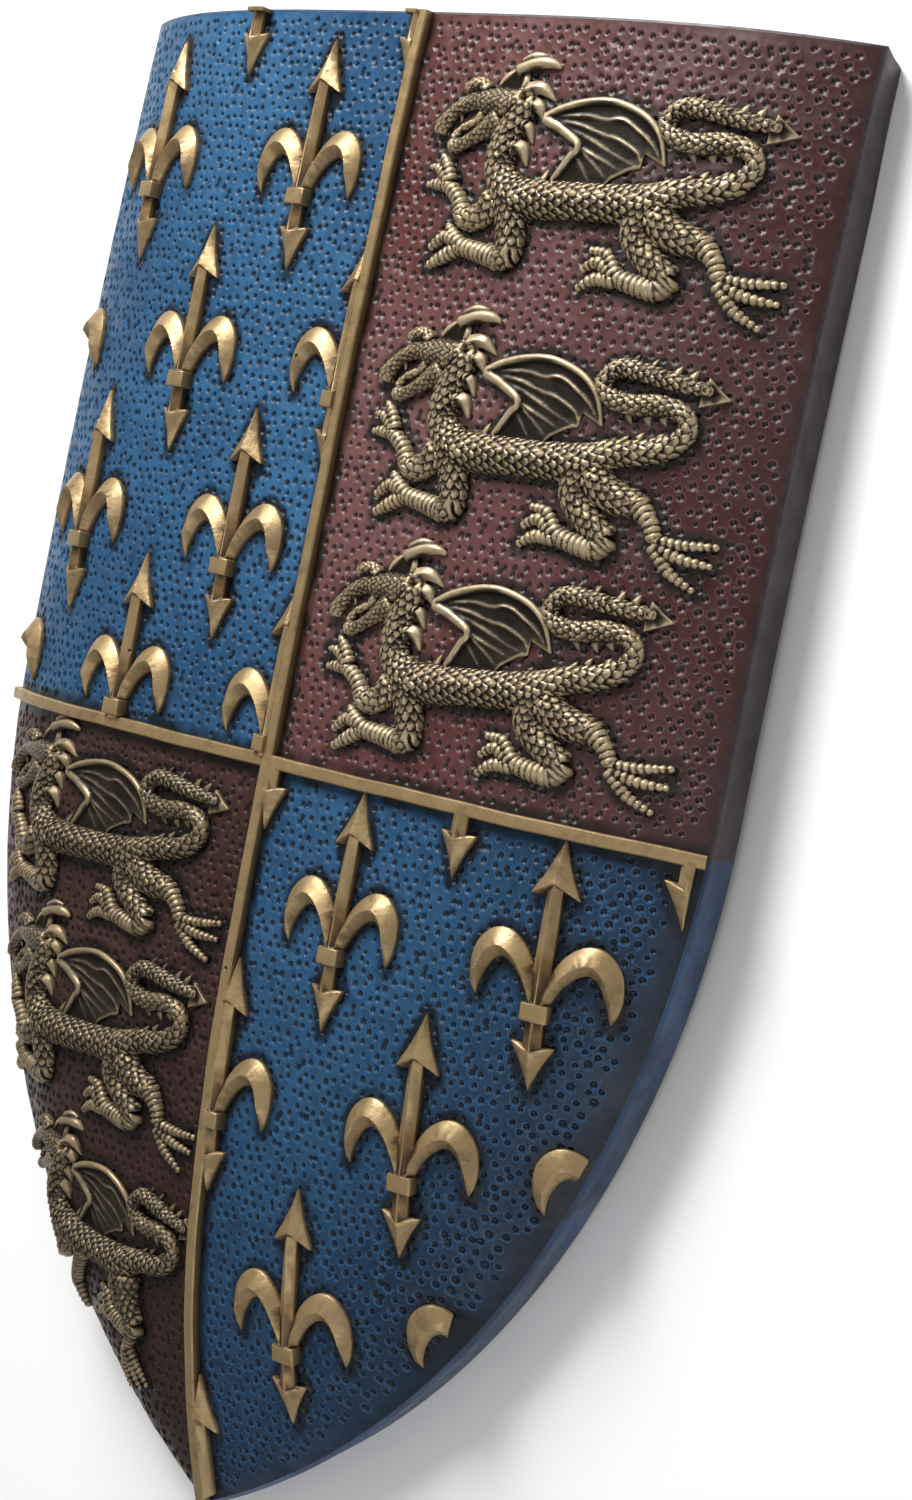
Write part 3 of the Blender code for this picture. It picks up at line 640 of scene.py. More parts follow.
WING_BONES = [[(27.2, 15.6, 1.1), (31, 17.7, 0.95), (36.5, 19.3, 0.85), (42, 19.7, 0.8), (47.7, 18.3, 0.75),
               (51.5, 16.2, 0.7), (54, 13.2, 0.6), (55.8, 8.3, 0.35)],
              [(27.2, 15.4, 1.2), (31.6, 13.7, 1.1), (36.2, 10.8, 1.0), (34.7, 8, 0.9), (31.8, 3.6, 0.7)],
              [(28, 15.6, 0.7), (35.5, 16.6, 0.5), (41.2, 16.2, 0.5), (45, 16.4, 0.5), (49.6, 14.1, 0.5),
               (52.7, 11.8, 0.45), (55.4, 8.7, 0.3)],
              [(29, 15.2, 0.7), (35.5, 14.7, 0.55), (41.2, 13.3, 0.5), (45, 12.5, 0.5), (49.6, 10.3, 0.45),
               (50.8, 8, 0.3)],
              [(30.5, 14.7, 0.7), (35.5, 13.2, 0.5), (40.5, 11.4, 0.5), (43.9, 9.9, 0.45), (47.7, 8.5, 0.4),
               (50.8, 7.6, 0.3)],
              [(36.2, 10.8, 0.6), (44.2, 4.6, 0.35)], [(36.2, 10.6, 0.6), (46.9, 6.6, 0.35)],
              [(35.4, 9.4, 0.5), (42.6, 1.6, 0.3)], [(49.8, 7.9, 0.4), (46.9, 6.4, 0.4), (44.2, 4.5, 0.4),
                                                      (43, 1.2, 0.4)]]
SPIKES = [(59.6, 21.2, 1.8), (63.5, 20.9, 1.7), (68.5, 20.5, 1.5), (71.7, 20.3, 1.3), (60.8, 10.9, -1.4),
          (64.6, 10.9, -1.4), (67.7, 11.3, -1.2), (60.8, 6.4, 1.2), (63.8, 7.4, 1.2), (67.7, 7.9, 1.1),
          (29.3, 4.2, 1.8)]
WING = [(27.2, 15.6), (31, 17.7), (36.5, 19.3), (42, 19.7), (47.7, 18.3), (51.5, 16.2), (54, 13.2),
        (55.8, 8.3), (51.2, 10.3), (50.8, 7.5), (46.9, 6.4), (44.2, 4.5), (43, 1), (32, 1), (34.8, 8),
        (36.2, 10.8), (31.6, 13.7)]
FINS = [([(14.2, 20.4), (15.8, 23.0), (19.2, 25.2), (19.8, 22), (18.6, 18.8), (16.5, 18)], 1.0),
        ([(74.4, 18.4), (75.0, 20.4), (77.4, 18.4), (79.6, 16.8), (76.5, 15.6), (74.0, 14.6),
          (74.2, 17)], 1.0)]
LEAVES = [[(13.8, 20.4, 0.8), (15.6, 23.2, 0.9), (19.6, 25.6, 0.5)],
          [(19.6, 25.6, 0.5), (20.2, 22.3, 0.9), (18.8, 18.8, 0.9)], [(16.2, 19.6, 0.5), (18.6, 23.2, 0.3)],
          [(21.5, 20.8, 1.6), (24.8, 21.3, 1.3), (28.4, 19.0, 0.2)],
          [(22.5, 18.2, 1.5), (25, 17.6, 1.3), (26.6, 14.9, 0.2)],
          [(21.5, 14.2, 1.5), (23.6, 13.2, 1.2), (24.9, 10.4, 0.2)],
          [(20.5, 9.6, 1.6), (23.2, 9.2, 1.4), (24.6, 6.0, 0.3)],
          [(74.4, 17.6, 0.6), (79.4, 16.9, 0.2)], [(74.4, 17.9, 0.5), (75.2, 20.2, 0.2)],
          [(74.4, 17.8, 0.5), (77.2, 18.3, 0.2)], [(74.3, 17.2, 0.5), (76.4, 15.9, 0.2)],
          [(74.2, 17.0, 0.5), (74.1, 14.9, 0.2)]]
# The skin, in squares: where the tail begins, and pitch and height of scales and rings
TAIL_START = 75
SCALE_PITCH, TAIL_PITCH, HEAD_PITCH, RING_PITCH = 1.6, 1.2, 1.0, 1.3
SCALE_HEIGHT, HEAD_HEIGHT, RING_HEIGHT = 0.58, 0.26, 0.36


def turned(line, pivot, angle):
    result = []
    for x, y, radius in line:
        out, up = x - pivot[0], y - pivot[1]
        result.append((pivot[0] + out * math.cos(angle) - up * math.sin(angle),
                       pivot[1] + out * math.sin(angle) + up * math.cos(angle), radius))
    return result


def limb_lines(kick, reach):
    """Limbs with scales, and feet with rings, after the turns at hip and shoulder."""
    scaled = [NEAR_HIND[:4], turned(FAR_HIND[:3], FAR_HIND[0], kick),
              turned(FAR_FORE[:4], FAR_FORE[0], reach), turned(NEAR_FORE[:4], NEAR_FORE[0], reach)]
    ringed = [NEAR_HIND[3:]] + HIND_TOES
    ringed += [turned(line, FAR_HIND[0], kick) for line in [FAR_HIND[2:]] + FAR_TOES]
    ringed += [turned(line, FAR_FORE[0], reach) for line in [FAR_FORE[3:]] + FAR_CLAWS]
    ringed += [turned(line, NEAR_FORE[0], reach) for line in [NEAR_FORE[3:]] + NEAR_CLAWS]
    return scaled, ringed


def tube(line, step=0.7, sides=14):
    points = np.array(smooth_line(line, step))
    along = np.gradient(points[:, :2], axis=0)
    along /= np.maximum(np.linalg.norm(along, axis=1), 1e-9)[:, None]
    rings = []
    angles = np.arange(sides) * 2 * math.pi / sides
    for (x, y, radius), (ax, ay) in zip(points, along):
        radius = max(radius, 0.15)
        lift = min(0.6 * radius, max(0.35 * (3.4 - radius), 0.0))
        rings.append([(x - ay * radius * math.cos(a), y + ax * radius * math.cos(a),
                       max(lift + radius * math.sin(a), UNDERSIDE)) for a in angles])
    return loft(rings)


def plate(outline, top):
    shape = bmesh.new()
    low = [shape.verts.new((x, y, UNDERSIDE)) for x, y in outline]
    high = [shape.verts.new((x, y, top)) for x, y in outline]
    for i in range(len(outline)):
        j = (i + 1) % len(outline)
        shape.faces.new((low[i], low[j], high[j], high[i]))
    shape.faces.new(low)
    shape.faces.new(high)
    bmesh.ops.recalc_face_normals(shape, faces=shape.faces)
    return shape


def spike(x, y, height):
    return leaf([(x, y - height * 0.4, 0.9), (x + 0.4, y + height * 0.3, 0.6), (x + 1.0, y + height, 0.1)],
                0.5, 1.3, step=0.5)


def near_lines(points, lines, chunk=16000):
    """For the points: nearest line, way along it, offset sideways, radius and distance in radii."""
    a, b, number, start = [], [], [], []
    for n, line in enumerate(lines):
        way = 0.0
        fine = smooth_line(line, 1.6)
        for p, q in zip(fine, fine[1:]):
            a.append(p)
            b.append(q)
            number.append(n)
            start.append(way)
            way += math.hypot(q[0] - p[0], q[1] - p[1])
    a, b = np.array(a, float), np.array(b, float)
    number, start = np.array(number), np.array(start)
    d = b - a
    length = np.maximum(np.hypot(d[:, 0], d[:, 1]), 1e-9)
    found = []
    for first in range(0, len(points), chunk):
        rel = points[first:first + chunk, None, :2] - a[None, :, :2]
        t = np.clip((rel * d[None, :, :2]).sum(2) / length ** 2, 0, 1)
        away = rel - t[..., None] * d[None, :, :2]
        radius = a[:, 2] + t * d[:, 2]
        ratio = np.sqrt((away ** 2).sum(2)) / radius
        best = ratio.argmin(1)
        row = np.arange(len(best))
        side = d[best, 0] * away[row, best, 1] - d[best, 1] * away[row, best, 0]
        found.append(np.stack([number[best], start[best] + t[row, best] * length[best], side / length[best],
                               radius[row, best], ratio[row, best]], 1))
    return np.vstack(found).T


def scales(way, side, radius, pitch):
    """Height of overlapping scales that point along the way, from 0 to 1.15."""
    turn = np.arcsin(np.clip(side / radius, -1, 1)) * radius
    best = np.zeros_like(way)
    for back in (0, 1):
        row = np.floor(way / pitch) - back
        a = way / pitch - row
        column = turn / (pitch * 1.05) + 0.5 * (row % 2)
        b = 2 * (column - np.floor(column)) - 1
        reach = 1.45 - 0.75 * b ** 2
        rank = np.sin(row * 12.9 + np.floor(column) * 78.2) * 0.5 + 0.5
        height = (0.25 + 0.75 * a / reach) * (1 - 0.45 * b ** 2) * (0.8 + 0.35 * rank)
        best = np.maximum(best, np.where(a < reach, height, 0))
    return best


def dragon(kick, reach):
    """Vertices, triangles and attributes of one dragon, in squares."""
    scaled, ringed = limb_lines(math.radians(kick), math.radians(reach))
    shape = bmesh.new()
    for line in [SPINE] + scaled + ringed + HEAD + WING_BONES:
        merge(shape, tube(line))
    for line in LEAVES:
        merge(shape, leaf(line, 1.1, 2.4, step=0.5))
    merge(shape, plate(WING, 0.5))
    for outline, top in FINS:
        merge(shape, plate(outline, top))
    for x, y, height in SPIKES:
        merge(shape, spike(x, y, height))
    shape = modified(shape, "REMESH", mode="VOXEL", voxel_size=DRAGON_VOXEL)
    open_below(shape, -0.75)
    for _ in range(2):
        smooth(shape, 0.5)
    shape.normal_update()
    normal = np.array([v.normal[:] for v in shape.verts])
    vertices = np.array([v.co[:] for v in shape.verts])
    lines = [SPINE] + scaled + ringed + HEAD[:5]
    number, way, side, radius, ratio = near_lines(vertices, lines)
    is_scaled = number <= len(scaled)
    is_head = number > len(scaled) + len(ringed)
    pitch = np.where((number == 0) & (way > TAIL_START), TAIL_PITCH, SCALE_PITCH)
    bump = np.where(is_scaled, SCALE_HEIGHT * scales(way, side, radius, pitch),
                    RING_HEIGHT * (1 - np.abs(2 * ((way / RING_PITCH) % 1) - 1)) ** 0.7)
    bump = np.where(is_head, HEAD_HEIGHT * scales(way, side, radius, HEAD_PITCH), bump)
    fade = np.clip((1.12 - ratio) / 0.12, 0, 1) * np.clip((vertices[:, 2] + 0.3) / 0.5, 0, 1)
    vertices += normal * (bump * fade)[:, None]
    for vertex, place in zip(shape.verts, vertices):
        vertex.co = place
    bmesh.ops.triangulate(shape, faces=shape.faces)
    shape = modified(shape, "DECIMATE", ratio=DRAGON_TRIANGLES / len(shape.faces))
    return arrays(shape)


# Each dragon: the shoulder's two shares, stretch, rise, turn, kick and reach, as in the solid
UPPER_DRAGONS = [(0.374, 0.765, 1.00, 0.99, 0, 0, 0), (0.364, 0.441, 0.985, 0.98, 0, 0, 0),
                 (0.364, 0.144, 0.975, 0.97, 4, 0, 0)]
LOWER_DRAGONS = [(-0.625, -0.171, 1.02, 0.89, 0, 4, 0), (-0.54, -0.426, 0.93, 0.91, 0, -6, 0),
                 (-0.425, -0.69, 0.77, 0.85, -8, -50, 70)]


def spot(shares):
    """The place in the flat drawing of a share of the half width and one of the top's or tip's length."""
    column, row = shares
    return column * HALF_WIDTH, row * (TOP_LENGTH if row > 0 else TIP_LENGTH)


def drawn(points, column, row, stretch, rise, turn):
    """Points in squares, moved to their place in the flat drawing."""
    x, y = spot((column, row))
    p = np.array(points, float)
    p[:, 0] = (p[:, 0] - SHOULDER_SQUARE) * DRAGON_SQUARE * stretch
    p[:, 1] *= DRAGON_SQUARE * rise
    p[:, 2] *= DRAGON_RISE
    angle = math.radians(turn)
    turned_x = p[:, 0] * math.cos(angle) - p[:, 1] * math.sin(angle) + x
    turned_y = p[:, 0] * math.sin(angle) + p[:, 1] * math.cos(angle) + y
    return np.stack([turned_x, turned_y, p[:, 2]], 1)


def outline_lines(placed):
    """The lines of a placed dragon as (x, y, radius) in the drawing, for the wash and the pits."""
    scaled, ringed = limb_lines(math.radians(placed[5]), math.radians(placed[6]))
    inner = [[(31, 15, 2.2), (42, 15, 3.4), (50, 12.5, 2.4)], [(38, 8, 3.4), (40, 4, 2.5), (46, 9, 2.5)],
             [(19, 21, 3.0), (24.5, 20, 2.0)]]
    made = []
    for line in [SPINE] + scaled + ringed + HEAD[:3] + WING_BONES[:2] + inner:
        places = drawn([(px, py, 0) for px, py, _ in line], *placed[:5])
        made.append([(p[0], p[1], radius * DRAGON_SQUARE) for p, (_, _, radius) in zip(places, line)])
    return made


def fleur_lines(petals, shaft, x, y):
    """The lines of a fleur with its collar at x, y, as (x, y, radius), for the wash and the pits."""
    petal = [(0.6, 1.0, 1.1), (2.4, 6.2, 1.4), (5.4, 10.6, 2.1), (9.2, 11.8, 2.7), (12.2, 9.2, 2.3),
             (13.3, 5.0, 1.4), (13.2, 0.8, 0.4)]
    lines = [[(side * px, py, r) for px, py, r in petal] for side in petals]
    if shaft:
        lines += [[(0, 25, 1.6), (0, -8, 1.6)], [(0, 23, 4), (0, 33, 0.3)], [(0, -7.2, 3.4), (0, -15, 0.3)]]
    return [[(x + px * FLEUR_SQUARE, y + py * FLEUR_SQUARE, r * FLEUR_SQUARE) for px, py, r in line]
            for line in lines]


def chequered(columns, rows):
    """Every second place of a grid, from its first column and row."""
    return [(x, y) for row, y in enumerate(rows) for column, x in enumerate(columns)
            if (row + column) % 2 == 0]


# What is placed in each azure quarter: petals, shaft, and the places as two shares
LEFT_FLEURS = [([-1, 1], True, chequered(UPPER_COLUMNS, UPPER_ROWS))]
RIGHT_FLEURS = [([-1, 1], True, chequered(LOWER_COLUMNS, LOWER_ROWS[:3]) + [
    CORNER_FLEUR, (LOWER_COLUMNS[1], LOWER_ROWS[3])]), ([], True, [TIP_FLEUR]), ([-1], False, LONE_PETALS)]


def nearest_gap(points, others):
    """Distance from each point to the nearest of the others."""
    result = []
    for first in range(0, len(points), 500):
        gap = points[first:first + 500, None] - others[None]
        result.append(np.sqrt((gap ** 2).sum(2)).min(1))
    return np.concatenate(result)


def pit_centres(bottom, top, sign, lines, margin):
    """Centres of a quarter's pits, in uneven rows that end at the bars, the rim and the figures."""
    centres = []
    for number, y in enumerate(np.arange(bottom, top, PIT_SPACING * 0.87)):
        x = np.arange(0.0, HALF_WIDTH, PIT_SPACING) + (number % 2) * PIT_SPACING / 2
        centres.append(np.stack([x, np.full_like(x, y)], 1))
    centres = np.vstack(centres)
    centres += RNG.uniform(-PIT_SCATTER, PIT_SCATTER, centres.shape) * PIT_SPACING
    x, y = centres.T
    clear = BAR_WIDTH / 2 + PIT_FROM_BAR
    keep = (x > clear) & (x < side_x(y) - margin) & (np.abs(y) > clear) & (y < TOP_LENGTH - PIT_FROM_TOP)
    centres = centres[keep] * (sign, 1)
    return centres[capsule_distance(centres, lines) > -PIT_UNDER_FIGURE]


def pit_points(centres, radii):
    """Rings of points round each centre, each with its share of the radius and the number of its pit."""
    points, shares, owners = [], [], []
    for share, count in zip(RING_SHARES[::-1], RING_COUNTS[::-1]):
        angle = RNG.uniform(0, 6.28, (len(centres), 1)) + np.arange(count)[None] * 2 * math.pi / count
        ring = centres[:, None] + share * radii[:, None, None] * np.stack([np.cos(angle), np.sin(angle)], 2)
        points.append(ring.reshape(-1, 2))
        shares.append(np.full(len(centres) * count, share))
        owners.append(np.repeat(np.arange(len(centres)), count))
    return np.vstack(points), np.concatenate(shares), np.concatenate(owners)


def clear_of_neighbours(points, owners, centres, radii):
    """True for each point that has no other pit nearer than its own, or is well outside them all."""
    cells = {}
    for index, (x, y) in enumerate(centres):
        cells.setdefault((int(x // PIT_SPACING), int(y // PIT_SPACING)), []).append(index)
    keys = np.floor(points / PIT_SPACING).astype(int)
    order = np.lexsort((keys[:, 1], keys[:, 0]))
    bounds = np.flatnonzero(np.any(np.diff(keys[order], axis=0), axis=1)) + 1
    clear = np.ones(len(points), bool)
    for group in np.split(order, bounds):
        column, row = keys[group[0]].tolist()
        near = np.array([index for i in (-1, 0, 1) for j in (-1, 0, 1)
                         for index in cells.get((column + i, row + j), [])])
        gap = np.linalg.norm(points[group, None] - centres[None, near], axis=2) / radii[None, near]
        clear[group] = (near[gap.argmin(1)] == owners[group]) | (gap.min(1) > 1.2)
    return clear


def quarter_edges(bottom, top, sign):
    """Points along the rim, the upright bar, the level bar and, above it, the top edge."""
    y = np.linspace(bottom, top, 150)
    edges = [np.stack([sign * side_x(y, ROUNDING), y], 1), np.stack([y * 0, y], 1)]
    for level in (0.0, top) if top > 0 else (0.0,):
        x_end = float(side_x(level, ROUNDING))
        edges.append(np.stack([sign * np.linspace(0, x_end, 90), np.full(90, level)], 1))
    return edges


def plain_points(bottom, top, sign, centres):
    """Scattered points of a quarter where there are no pits."""
    points = RNG.uniform((0, bottom), (HALF_WIDTH, top), (PLAIN_TRIES, 2))
    x, y = points.T
    keep = (x < side_x(y) - ROUNDING - PLAIN_GAP) & (x > PLAIN_GAP)
    keep &= (y < top - PLAIN_GAP) & (y > bottom + PLAIN_GAP)
    points = points[keep] * (sign, 1)
    return points[nearest_gap(points, centres) > PLAIN_FROM_PIT]


def triangulated(points, shares):
    """Places, triangles that face up, and the share of each place."""
    made = delaunay_2d_cdt([Vector(point) for point in points.tolist()], [], [], 0, 1e-7)
    places = np.array([place[:] for place in made[0]])
    shares = np.array([shares[origin[0]] if origin else NO_PIT for origin in made[3]])
    faces = np.array(made[2])
    a, b, c = (places[faces[:, i]] for i in range(3))
    area = (b[:, 0] - a[:, 0]) * (c[:, 1] - a[:, 1]) - (b[:, 1] - a[:, 1]) * (c[:, 0] - a[:, 0])
    faces = np.where((area > 0)[:, None], faces, faces[:, ::-1])[np.abs(area) > 1e-11]
    return places, faces, shares


def ground_attributes(places, shares, lines, upper):
    """Pits, painted highlights on their lips, dark wash and painted shadow by the figures and bars,
    darkening along the rim and the painted shade, for the paint.
    """
    x, y = places.T
    gap = np.minimum(capsule_distance(places, lines), np.minimum(np.abs(x), np.abs(y)) - BAR_WIDTH / 2)
    # Darkening along the rim, stronger in the lower quarters
    strength, reach = UPPER_RIM_DARKENING if upper else LOWER_RIM_DARKENING
    rim = np.clip(strength - (side_x(y) - np.abs(x)) / reach, 0, 1)
    # Painted shade, growing towards the bottom, the right and the far left
    shade = np.clip((SHADE_TOP - y) / SHADE_LENGTH, 0, 1) * 0.75
    shade += np.clip(x / SHADE_WIDTH - 0.35, 0, 1) * 1.2
    shade += np.clip(-x / SHADE_WIDTH - 0.6, 0, 1) * 0.8
    return {"pit": np.interp(shares, RING_SHARES, RING_DARKNESS), "lip": np.where(shares == LIP, 1.0, 0.0),
            "halo": np.clip(1.25 - gap / WASH_AND_SHADOW_REACH, 0, 1), "rim": rim, "shade": np.clip(shade, 0, 1)}


def ground(name, upper, left, lines, paint, margin):
    """One quarter's pitted field, up to the middle of the bars and the rounding of the rim."""
    sign = -1 if left else 1
    top = TOP_LENGTH - ROUNDING if upper else 0.0
    bottom = 0.0 if upper else low_y(ROUNDING)
    centres = pit_centres(bottom, top, sign, lines, margin)
    radii = PIT_RADIUS * np.clip(RNG.normal(1.0, 0.12, len(centres)), 0.7, 1.25)
    points, shares, owners = pit_points(centres, radii)
    x, y = sign * points[:, 0], points[:, 1]
    keep = clear_of_neighbours(points, owners, centres, radii)
    keep &= (x >= EDGE_GAP) & (x <= side_x(y) - ROUNDING - EDGE_GAP)
    keep &= (y >= (EDGE_GAP if upper else bottom)) & (y <= top - EDGE_GAP)
    plain = quarter_edges(bottom, top, sign) + [plain_points(bottom, top, sign, centres)]
    points = np.vstack([points[keep]] + plain)
    shares = np.append(shares[keep], np.full(len(points) - keep.sum(), NO_PIT))
    places, faces, shares = triangulated(points, shares)
    x, y = places.T
    wave = 0.00012 * np.sin(x * 190 + 2 * np.sin(y * 97)) * np.sin(y * 160)
    height = np.interp(shares, RING_SHARES, RING_LEVELS) * PIT_DEPTH + wave
    to_object(name, on_face(np.column_stack([places, height])), faces, [paint],
              ground_attributes(places, shares, lines, upper))


def wash_attributes(vertices, faces, height, relief):
    """Attributes for dry-brushed edges, dark hollows and the painted shade at the foot of a figure."""
    small, large = relief_attributes(vertices, faces)
    both = small / relief[0] + large / relief[1]
    return {"wear": np.clip(both, 0, 1), "cavity": np.clip(-both * 0.9, 0, 1),
            # low: painted shade at the foot of the figure
            "low": np.clip(1 - height, 0, 1)}


def place_fleurs(name, left, kinds):
    """The fleurs of one azure quarter, cut by the bars, the top edge and the margin."""
    sign = -1 if left else 1
    centre = Vector((HALF_WIDTH - SIDE_RADIUS, SHOULDER, 0))
    drawing = bmesh.new()
    for petals, shaft, places in kinds:
        model = fleur(petals, shaft)
        for number, shares in enumerate(places):
            x, y = spot(shares)
            single = model.copy()
            bmesh.ops.scale(single, verts=single.verts, vec=(FLEUR_SQUARE, FLEUR_SQUARE, FLEUR_RISE))
            bmesh.ops.translate(single, verts=single.verts, vec=(x, y, 0))
            cut(single, (sign * BAR_OVERLAP, 0, 0), (-sign, 0, 0))
            if left:
                cut(single, (0, BAR_OVERLAP, 0), (0, -1, 0))
                cut(single, (0, TOP_LENGTH - TOP_TRIM, 0), (0, 1, 0))
                if x < -LEFT_LIMIT:
                    cut(single, (-(HALF_WIDTH - FIGURE_MARGIN), 0, 0), (-1, 0, 0))
            else:
                cut(single, (0, -BAR_OVERLAP, 0), (0, 1, 0))
                normal = (Vector((x, y - 0.004, 0)) - centre).normalized()
                cut(single, centre + normal * (SIDE_RADIUS - FIGURE_MARGIN), normal)
                if not shaft:
                    cut(single, (PETAL_ENDS[number] * HALF_WIDTH, y + 11 * FLEUR_SQUARE, 0), (1, -0.3, 0))
            merge(drawing, single)
        model.free()
    vertices, faces = arrays(drawing)
    attributes = wash_attributes(vertices, faces, vertices[:, 2] / FIGURE_FOOT, FLEUR_RELIEF)
    to_object(name, on_face(vertices), faces, [GOLD], attributes, sharp=38)


def place_dragon(name, model, placed):
    """One dragon on the face, without what would reach over the rim's margin."""
    points, faces = model
    vertices = drawn(points, *placed[:5])
    over = np.abs(vertices[:, 0]) > side_x(vertices[:, 1]) - FIGURE_MARGIN
    faces = faces[~over[faces].all(1)]
    used, faces = np.unique(faces, return_inverse=True)
    vertices, faces = vertices[used], faces.reshape(-1, 3)
    attributes = wash_attributes(vertices, faces, vertices[:, 2] / FIGURE_FOOT + 0.25, DRAGON_RELIEF)
    # Painted shade: the lower dragons keep less of their gold brushing
    if placed[1] < 0:
        attributes["wear"] *= LOWER_DRAGON_SHADE
    to_object(name, on_face(vertices), faces, [BRONZE], attributes)


def bar(name, upright):
    """One bar with worn edges, as a row of sections along it."""
    if upright:
        way = np.linspace(low_y(BAR_END, BAR_WIDTH / 2), TOP_LENGTH - BAR_END, 420)
    else:
        way = np.linspace(-(HALF_WIDTH - BAR_GAP), HALF_WIDTH - BAR_GAP, 300)
    half = BAR_WIDTH / 2
    top = BAR_HEIGHT if upright else BAR_HEIGHT - CROSS_STEP
    phase = 0.0 if upright else 2.0
    rings = []
    for t in way:
        side = 0.00012 * math.sin(t * 70 + phase) + 0.00008 * math.sin(t * 173 + phase)
        lift = 0.0001 * math.sin(t * 51 + phase)
        right = [(half, -ROOT), (half, 0.0), (half - BAR_DRAFT, top - BAR_BEVEL + lift),
                 (half - BAR_BEVEL, top - BAR_CROWN + lift)]
        section = [(-a, h) for a, h in right] + [(0.0, top + lift)] + right[::-1]
        rings.append([(a + side, t, h) if upright else (t, a + side, h) for a, h in section])
    vertices, faces = arrays(loft(rings))
    attributes = wash_attributes(vertices, faces, vertices[:, 2] / BAR_FOOT, BAR_RELIEF)
    to_object(name, on_face(vertices), faces, [GOLD], attributes, sharp=35)


def outline(inset, count=110):
    """The outline moved inwards: up the right side, along the top and down the left side."""
    low = low_y(inset)
    high = TOP_LENGTH - inset
    y = np.linspace(low, high, count)
    right = np.stack([side_x(y, inset), y], 1)
    across = np.linspace(1, -1, 61)[1:-1]
    top = np.stack([across * side_x(high, inset), np.full_like(across, high)], 1)
    left = right[::-1] * (-1, 1)
    return np.vstack([right, top, left[:-1]])


def raised(flat, level):
    return np.column_stack([flat, level]) + (0, SHIFT, BASE)


def foot_level(flat):
    """The level of the side band's foot at the points of an outline."""
    arch = np.abs(flat[:, 0]) / np.maximum(side_x(flat[:, 1], EDGE_WIDTH), BAR_WIDTH)
    return dome(flat[:, 1], np.minimum(arch, 1.0)) - EDGE_DEPTH


def shell():
    """The side band, the flat foot and the hollow back, as loops from the face to the hollow's roof."""
    rim = outline(ROUNDING)
    loops = [on_face(np.column_stack([rim, np.zeros(len(rim))]))]
    for inset, drop in (ROUNDING_MIDDLE, (0.0, ROUNDING_DROP)):
        flat = outline(inset)
        loops.append(raised(flat, face_level(flat[:, 0], flat[:, 1]) - drop))
    steps = 9
    for number in range(1, steps + 1):
        share = number / steps
        flat = outline(EDGE_DRAFT * share)
        high = face_level(flat[:, 0], flat[:, 1]) - ROUNDING_DROP
        level = high + (foot_level(flat) - high) * share
        ripple = 0.00025 * np.sin(np.arange(len(flat)) * 0.55 + number) * math.sin(math.pi * share)
        loops.append(raised(flat * (1 - ripple[:, None]), level))
    band_rows = len(loops) - 1
    for inset in (EDGE_DRAFT + FOOT_BEVEL, EDGE_WIDTH - FOOT_BEVEL, EDGE_WIDTH):
        flat = outline(inset)
        loops.append(raised(flat, foot_level(flat)))
    for share in np.linspace(0.0, 1.0, 12):
        flat = outline(EDGE_WIDTH + HOLLOW_STEP) * (1 - 0.985 * share ** 1.2)
        level = face_level(flat[:, 0], flat[:, 1]) - WALL - HOLLOW_PLAY
        lumps = 0.0004 * np.sin(flat[:, 0] * 130 + 1) * np.sin(flat[:, 1] * 110)
        loops.append(raised(flat, level + lumps))
    count = len(loops[0])
    vertices = np.vstack(loops)
    vertices[:, 2] = np.maximum(vertices[:, 2], 0.0)
    faces, kinds = [], []
    for row in range(len(loops) - 1):
        for i in range(count):
            j = (i + 1) % count
            faces.append((row * count + i, row * count + j, (row + 1) * count + j, (row + 1) * count + i))
            x, y = vertices[row * count + i, :2]
            is_red = x * (y - SHIFT) > 0
            kinds.append(2 if row >= band_rows else 0 if is_red else 1)
    faces.append(tuple((len(loops) - 1) * count + i for i in range(count)))
    kinds.append(2)
    to_object("side_band_and_back", vertices, [f[::-1] for f in faces], [BAND_RED, BAND_BLUE, BACK],
              face_materials=kinds, sharp=40)


place_fleurs("upper_fleurs", True, LEFT_FLEURS)
place_fleurs("lower_fleurs", False, RIGHT_FLEURS)
models = {}
for group, places in (("upper", UPPER_DRAGONS), ("lower", LOWER_DRAGONS)):
    for number, placed in enumerate(places):
        if placed[5:] not in models:
            models[placed[5:]] = dragon(*placed[5:])
        place_dragon(f"{group}_dragon_{number + 1}", models[placed[5:]], placed)
bar("level_bar", False)
bar("upright_bar", True)
shell()
fleurs_left, fleurs_right = [
    [line for petals, shaft, places in kinds for place in places
     for line in fleur_lines(petals, shaft, *spot(place))] for kinds in (LEFT_FLEURS, RIGHT_FLEURS)]
dragons_up = [line for placed in UPPER_DRAGONS for line in outline_lines(placed)]
dragons_low = [line for placed in LOWER_DRAGONS for line in outline_lines(placed)]
ground("upper_left_ground", True, True, fleurs_left, AZURE, 0.004)
ground("upper_right_ground", True, False, dragons_up, GULES, 0.0045)
# The lower left gules takes its painted shade from a darker copy of the paint
ground("lower_left_ground", False, True, dragons_low, GULES_SHADED, 0.0045)
ground("lower_right_ground", False, False, fleurs_right, AZURE, 0.009)

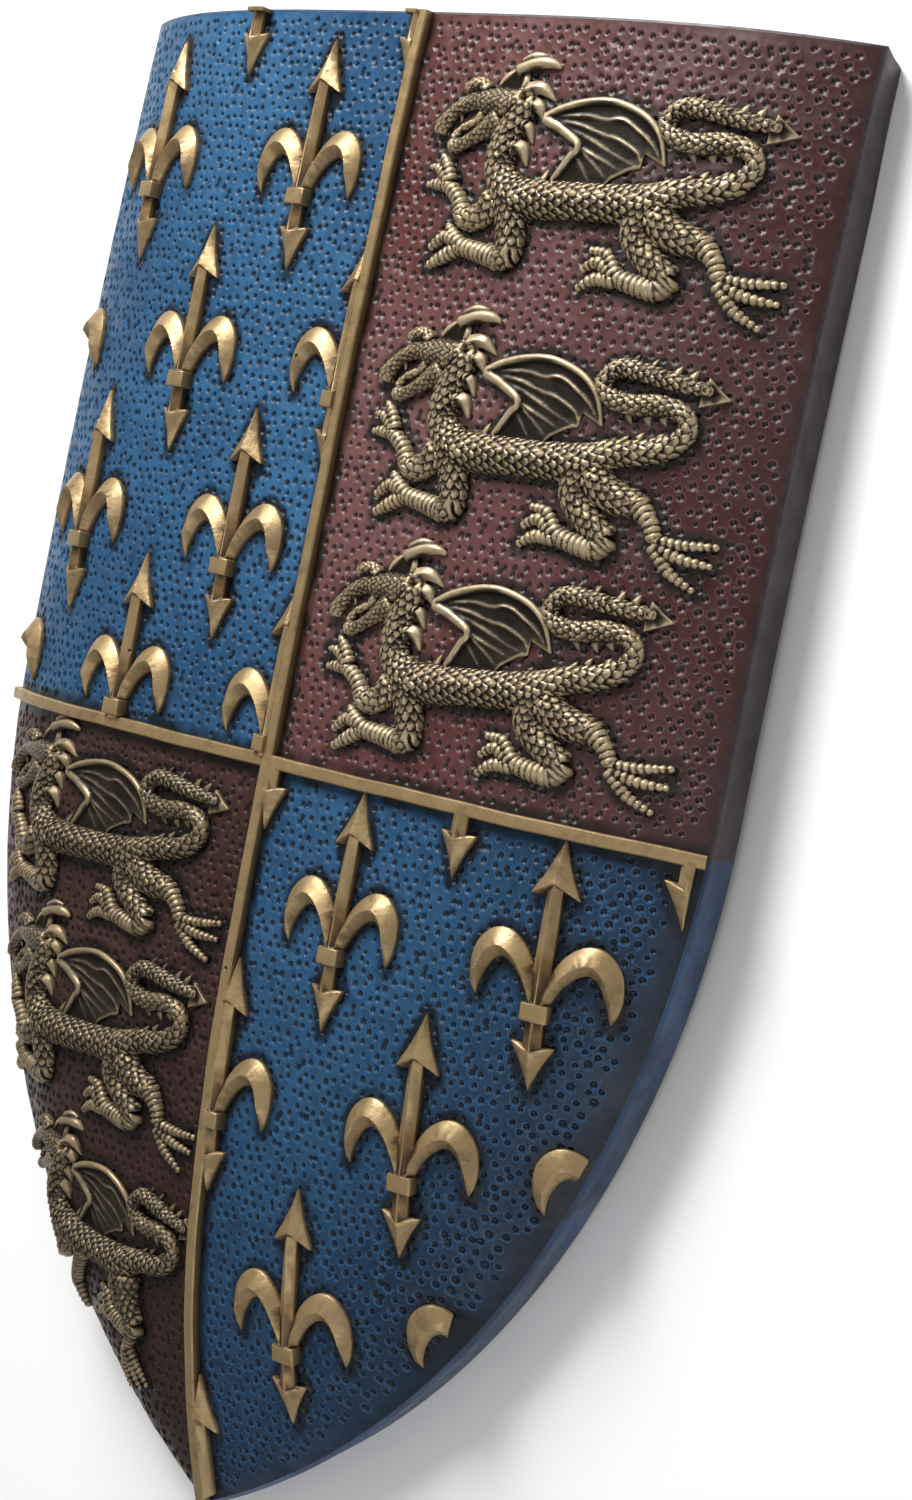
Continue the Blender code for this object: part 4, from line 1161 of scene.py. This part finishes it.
# The floor and the soft light
REACH = 6
floor_mesh = bpy.data.meshes.new("floor")
floor_mesh.from_pydata([(-REACH, -REACH, 0), (REACH, -REACH, 0), (REACH, REACH, 0), (-REACH, REACH, 0)],
                       [], [(0, 1, 2, 3)])
floor = linked("floor", floor_mesh)
floor_paint = Paint("pale_floor")
floor_mesh.materials.append(floor_paint.finish(Base_Color=(0.95, 0.95, 0.95), Roughness=0.7))

# The camera of the photograph, from the fit: turns in radians, places in half widths of the face
FIT = {"rx": 0.04394, "ry": -0.73924, "rz": -0.18945, "x": -0.36711, "y": -0.02341, "z": -6.57592}
PIXELS = 3295.77
LONG_SIDE = 1500
SENSOR = 36.0
turn = (Matrix.Rotation(FIT["rz"], 3, "Z") @ Matrix.Rotation(FIT["rx"], 3, "X")
        @ Matrix.Rotation(FIT["ry"], 3, "Y"))
back_turn = turn.transposed()
moved = Vector((FIT["x"], FIT["y"], FIT["z"])) * HALF_WIDTH
lens = bpy.data.cameras.new("camera")
lens.sensor_width = SENSOR
lens.lens = PIXELS * SENSOR / LONG_SIDE
lens.clip_start = 0.05
camera = linked("camera", lens)
camera.matrix_world = Matrix.Translation(back_turn @ -moved + Vector((0, SHIFT, BASE))) @ back_turn.to_4x4()
scene.camera = camera


def soft_light(name, place, size, power, colour=(1.0, 1.0, 1.0)):
    """An area light that points at the middle of the shield."""
    data = bpy.data.lights.new(name, "AREA")
    data.shape = "RECTANGLE"
    data.size, data.size_y = size
    data.energy = power
    data.color = colour
    made = linked(name, data)
    made.location = place
    made.rotation_mode = "QUATERNION"
    made.rotation_quaternion = (Vector((0.0, 0.0, 0.04)) - Vector(place)).to_track_quat("-Z", "Y")


soft_light("key", (-0.42, 1.45, 1.05), (0.9, 0.9), 50.0, (1.0, 0.985, 0.96))
soft_light("fill", (1.1, -1.2, 1.6), (1.6, 1.6), 14.0)
world = bpy.data.worlds.new("studio")
world.use_nodes = True
background = world.node_tree.nodes["Background"]
background.inputs["Color"].default_value = (1.0, 1.0, 1.0, 1.0)
background.inputs["Strength"].default_value = 0.3
scene.world = world
scene.view_settings.view_transform = "Standard"
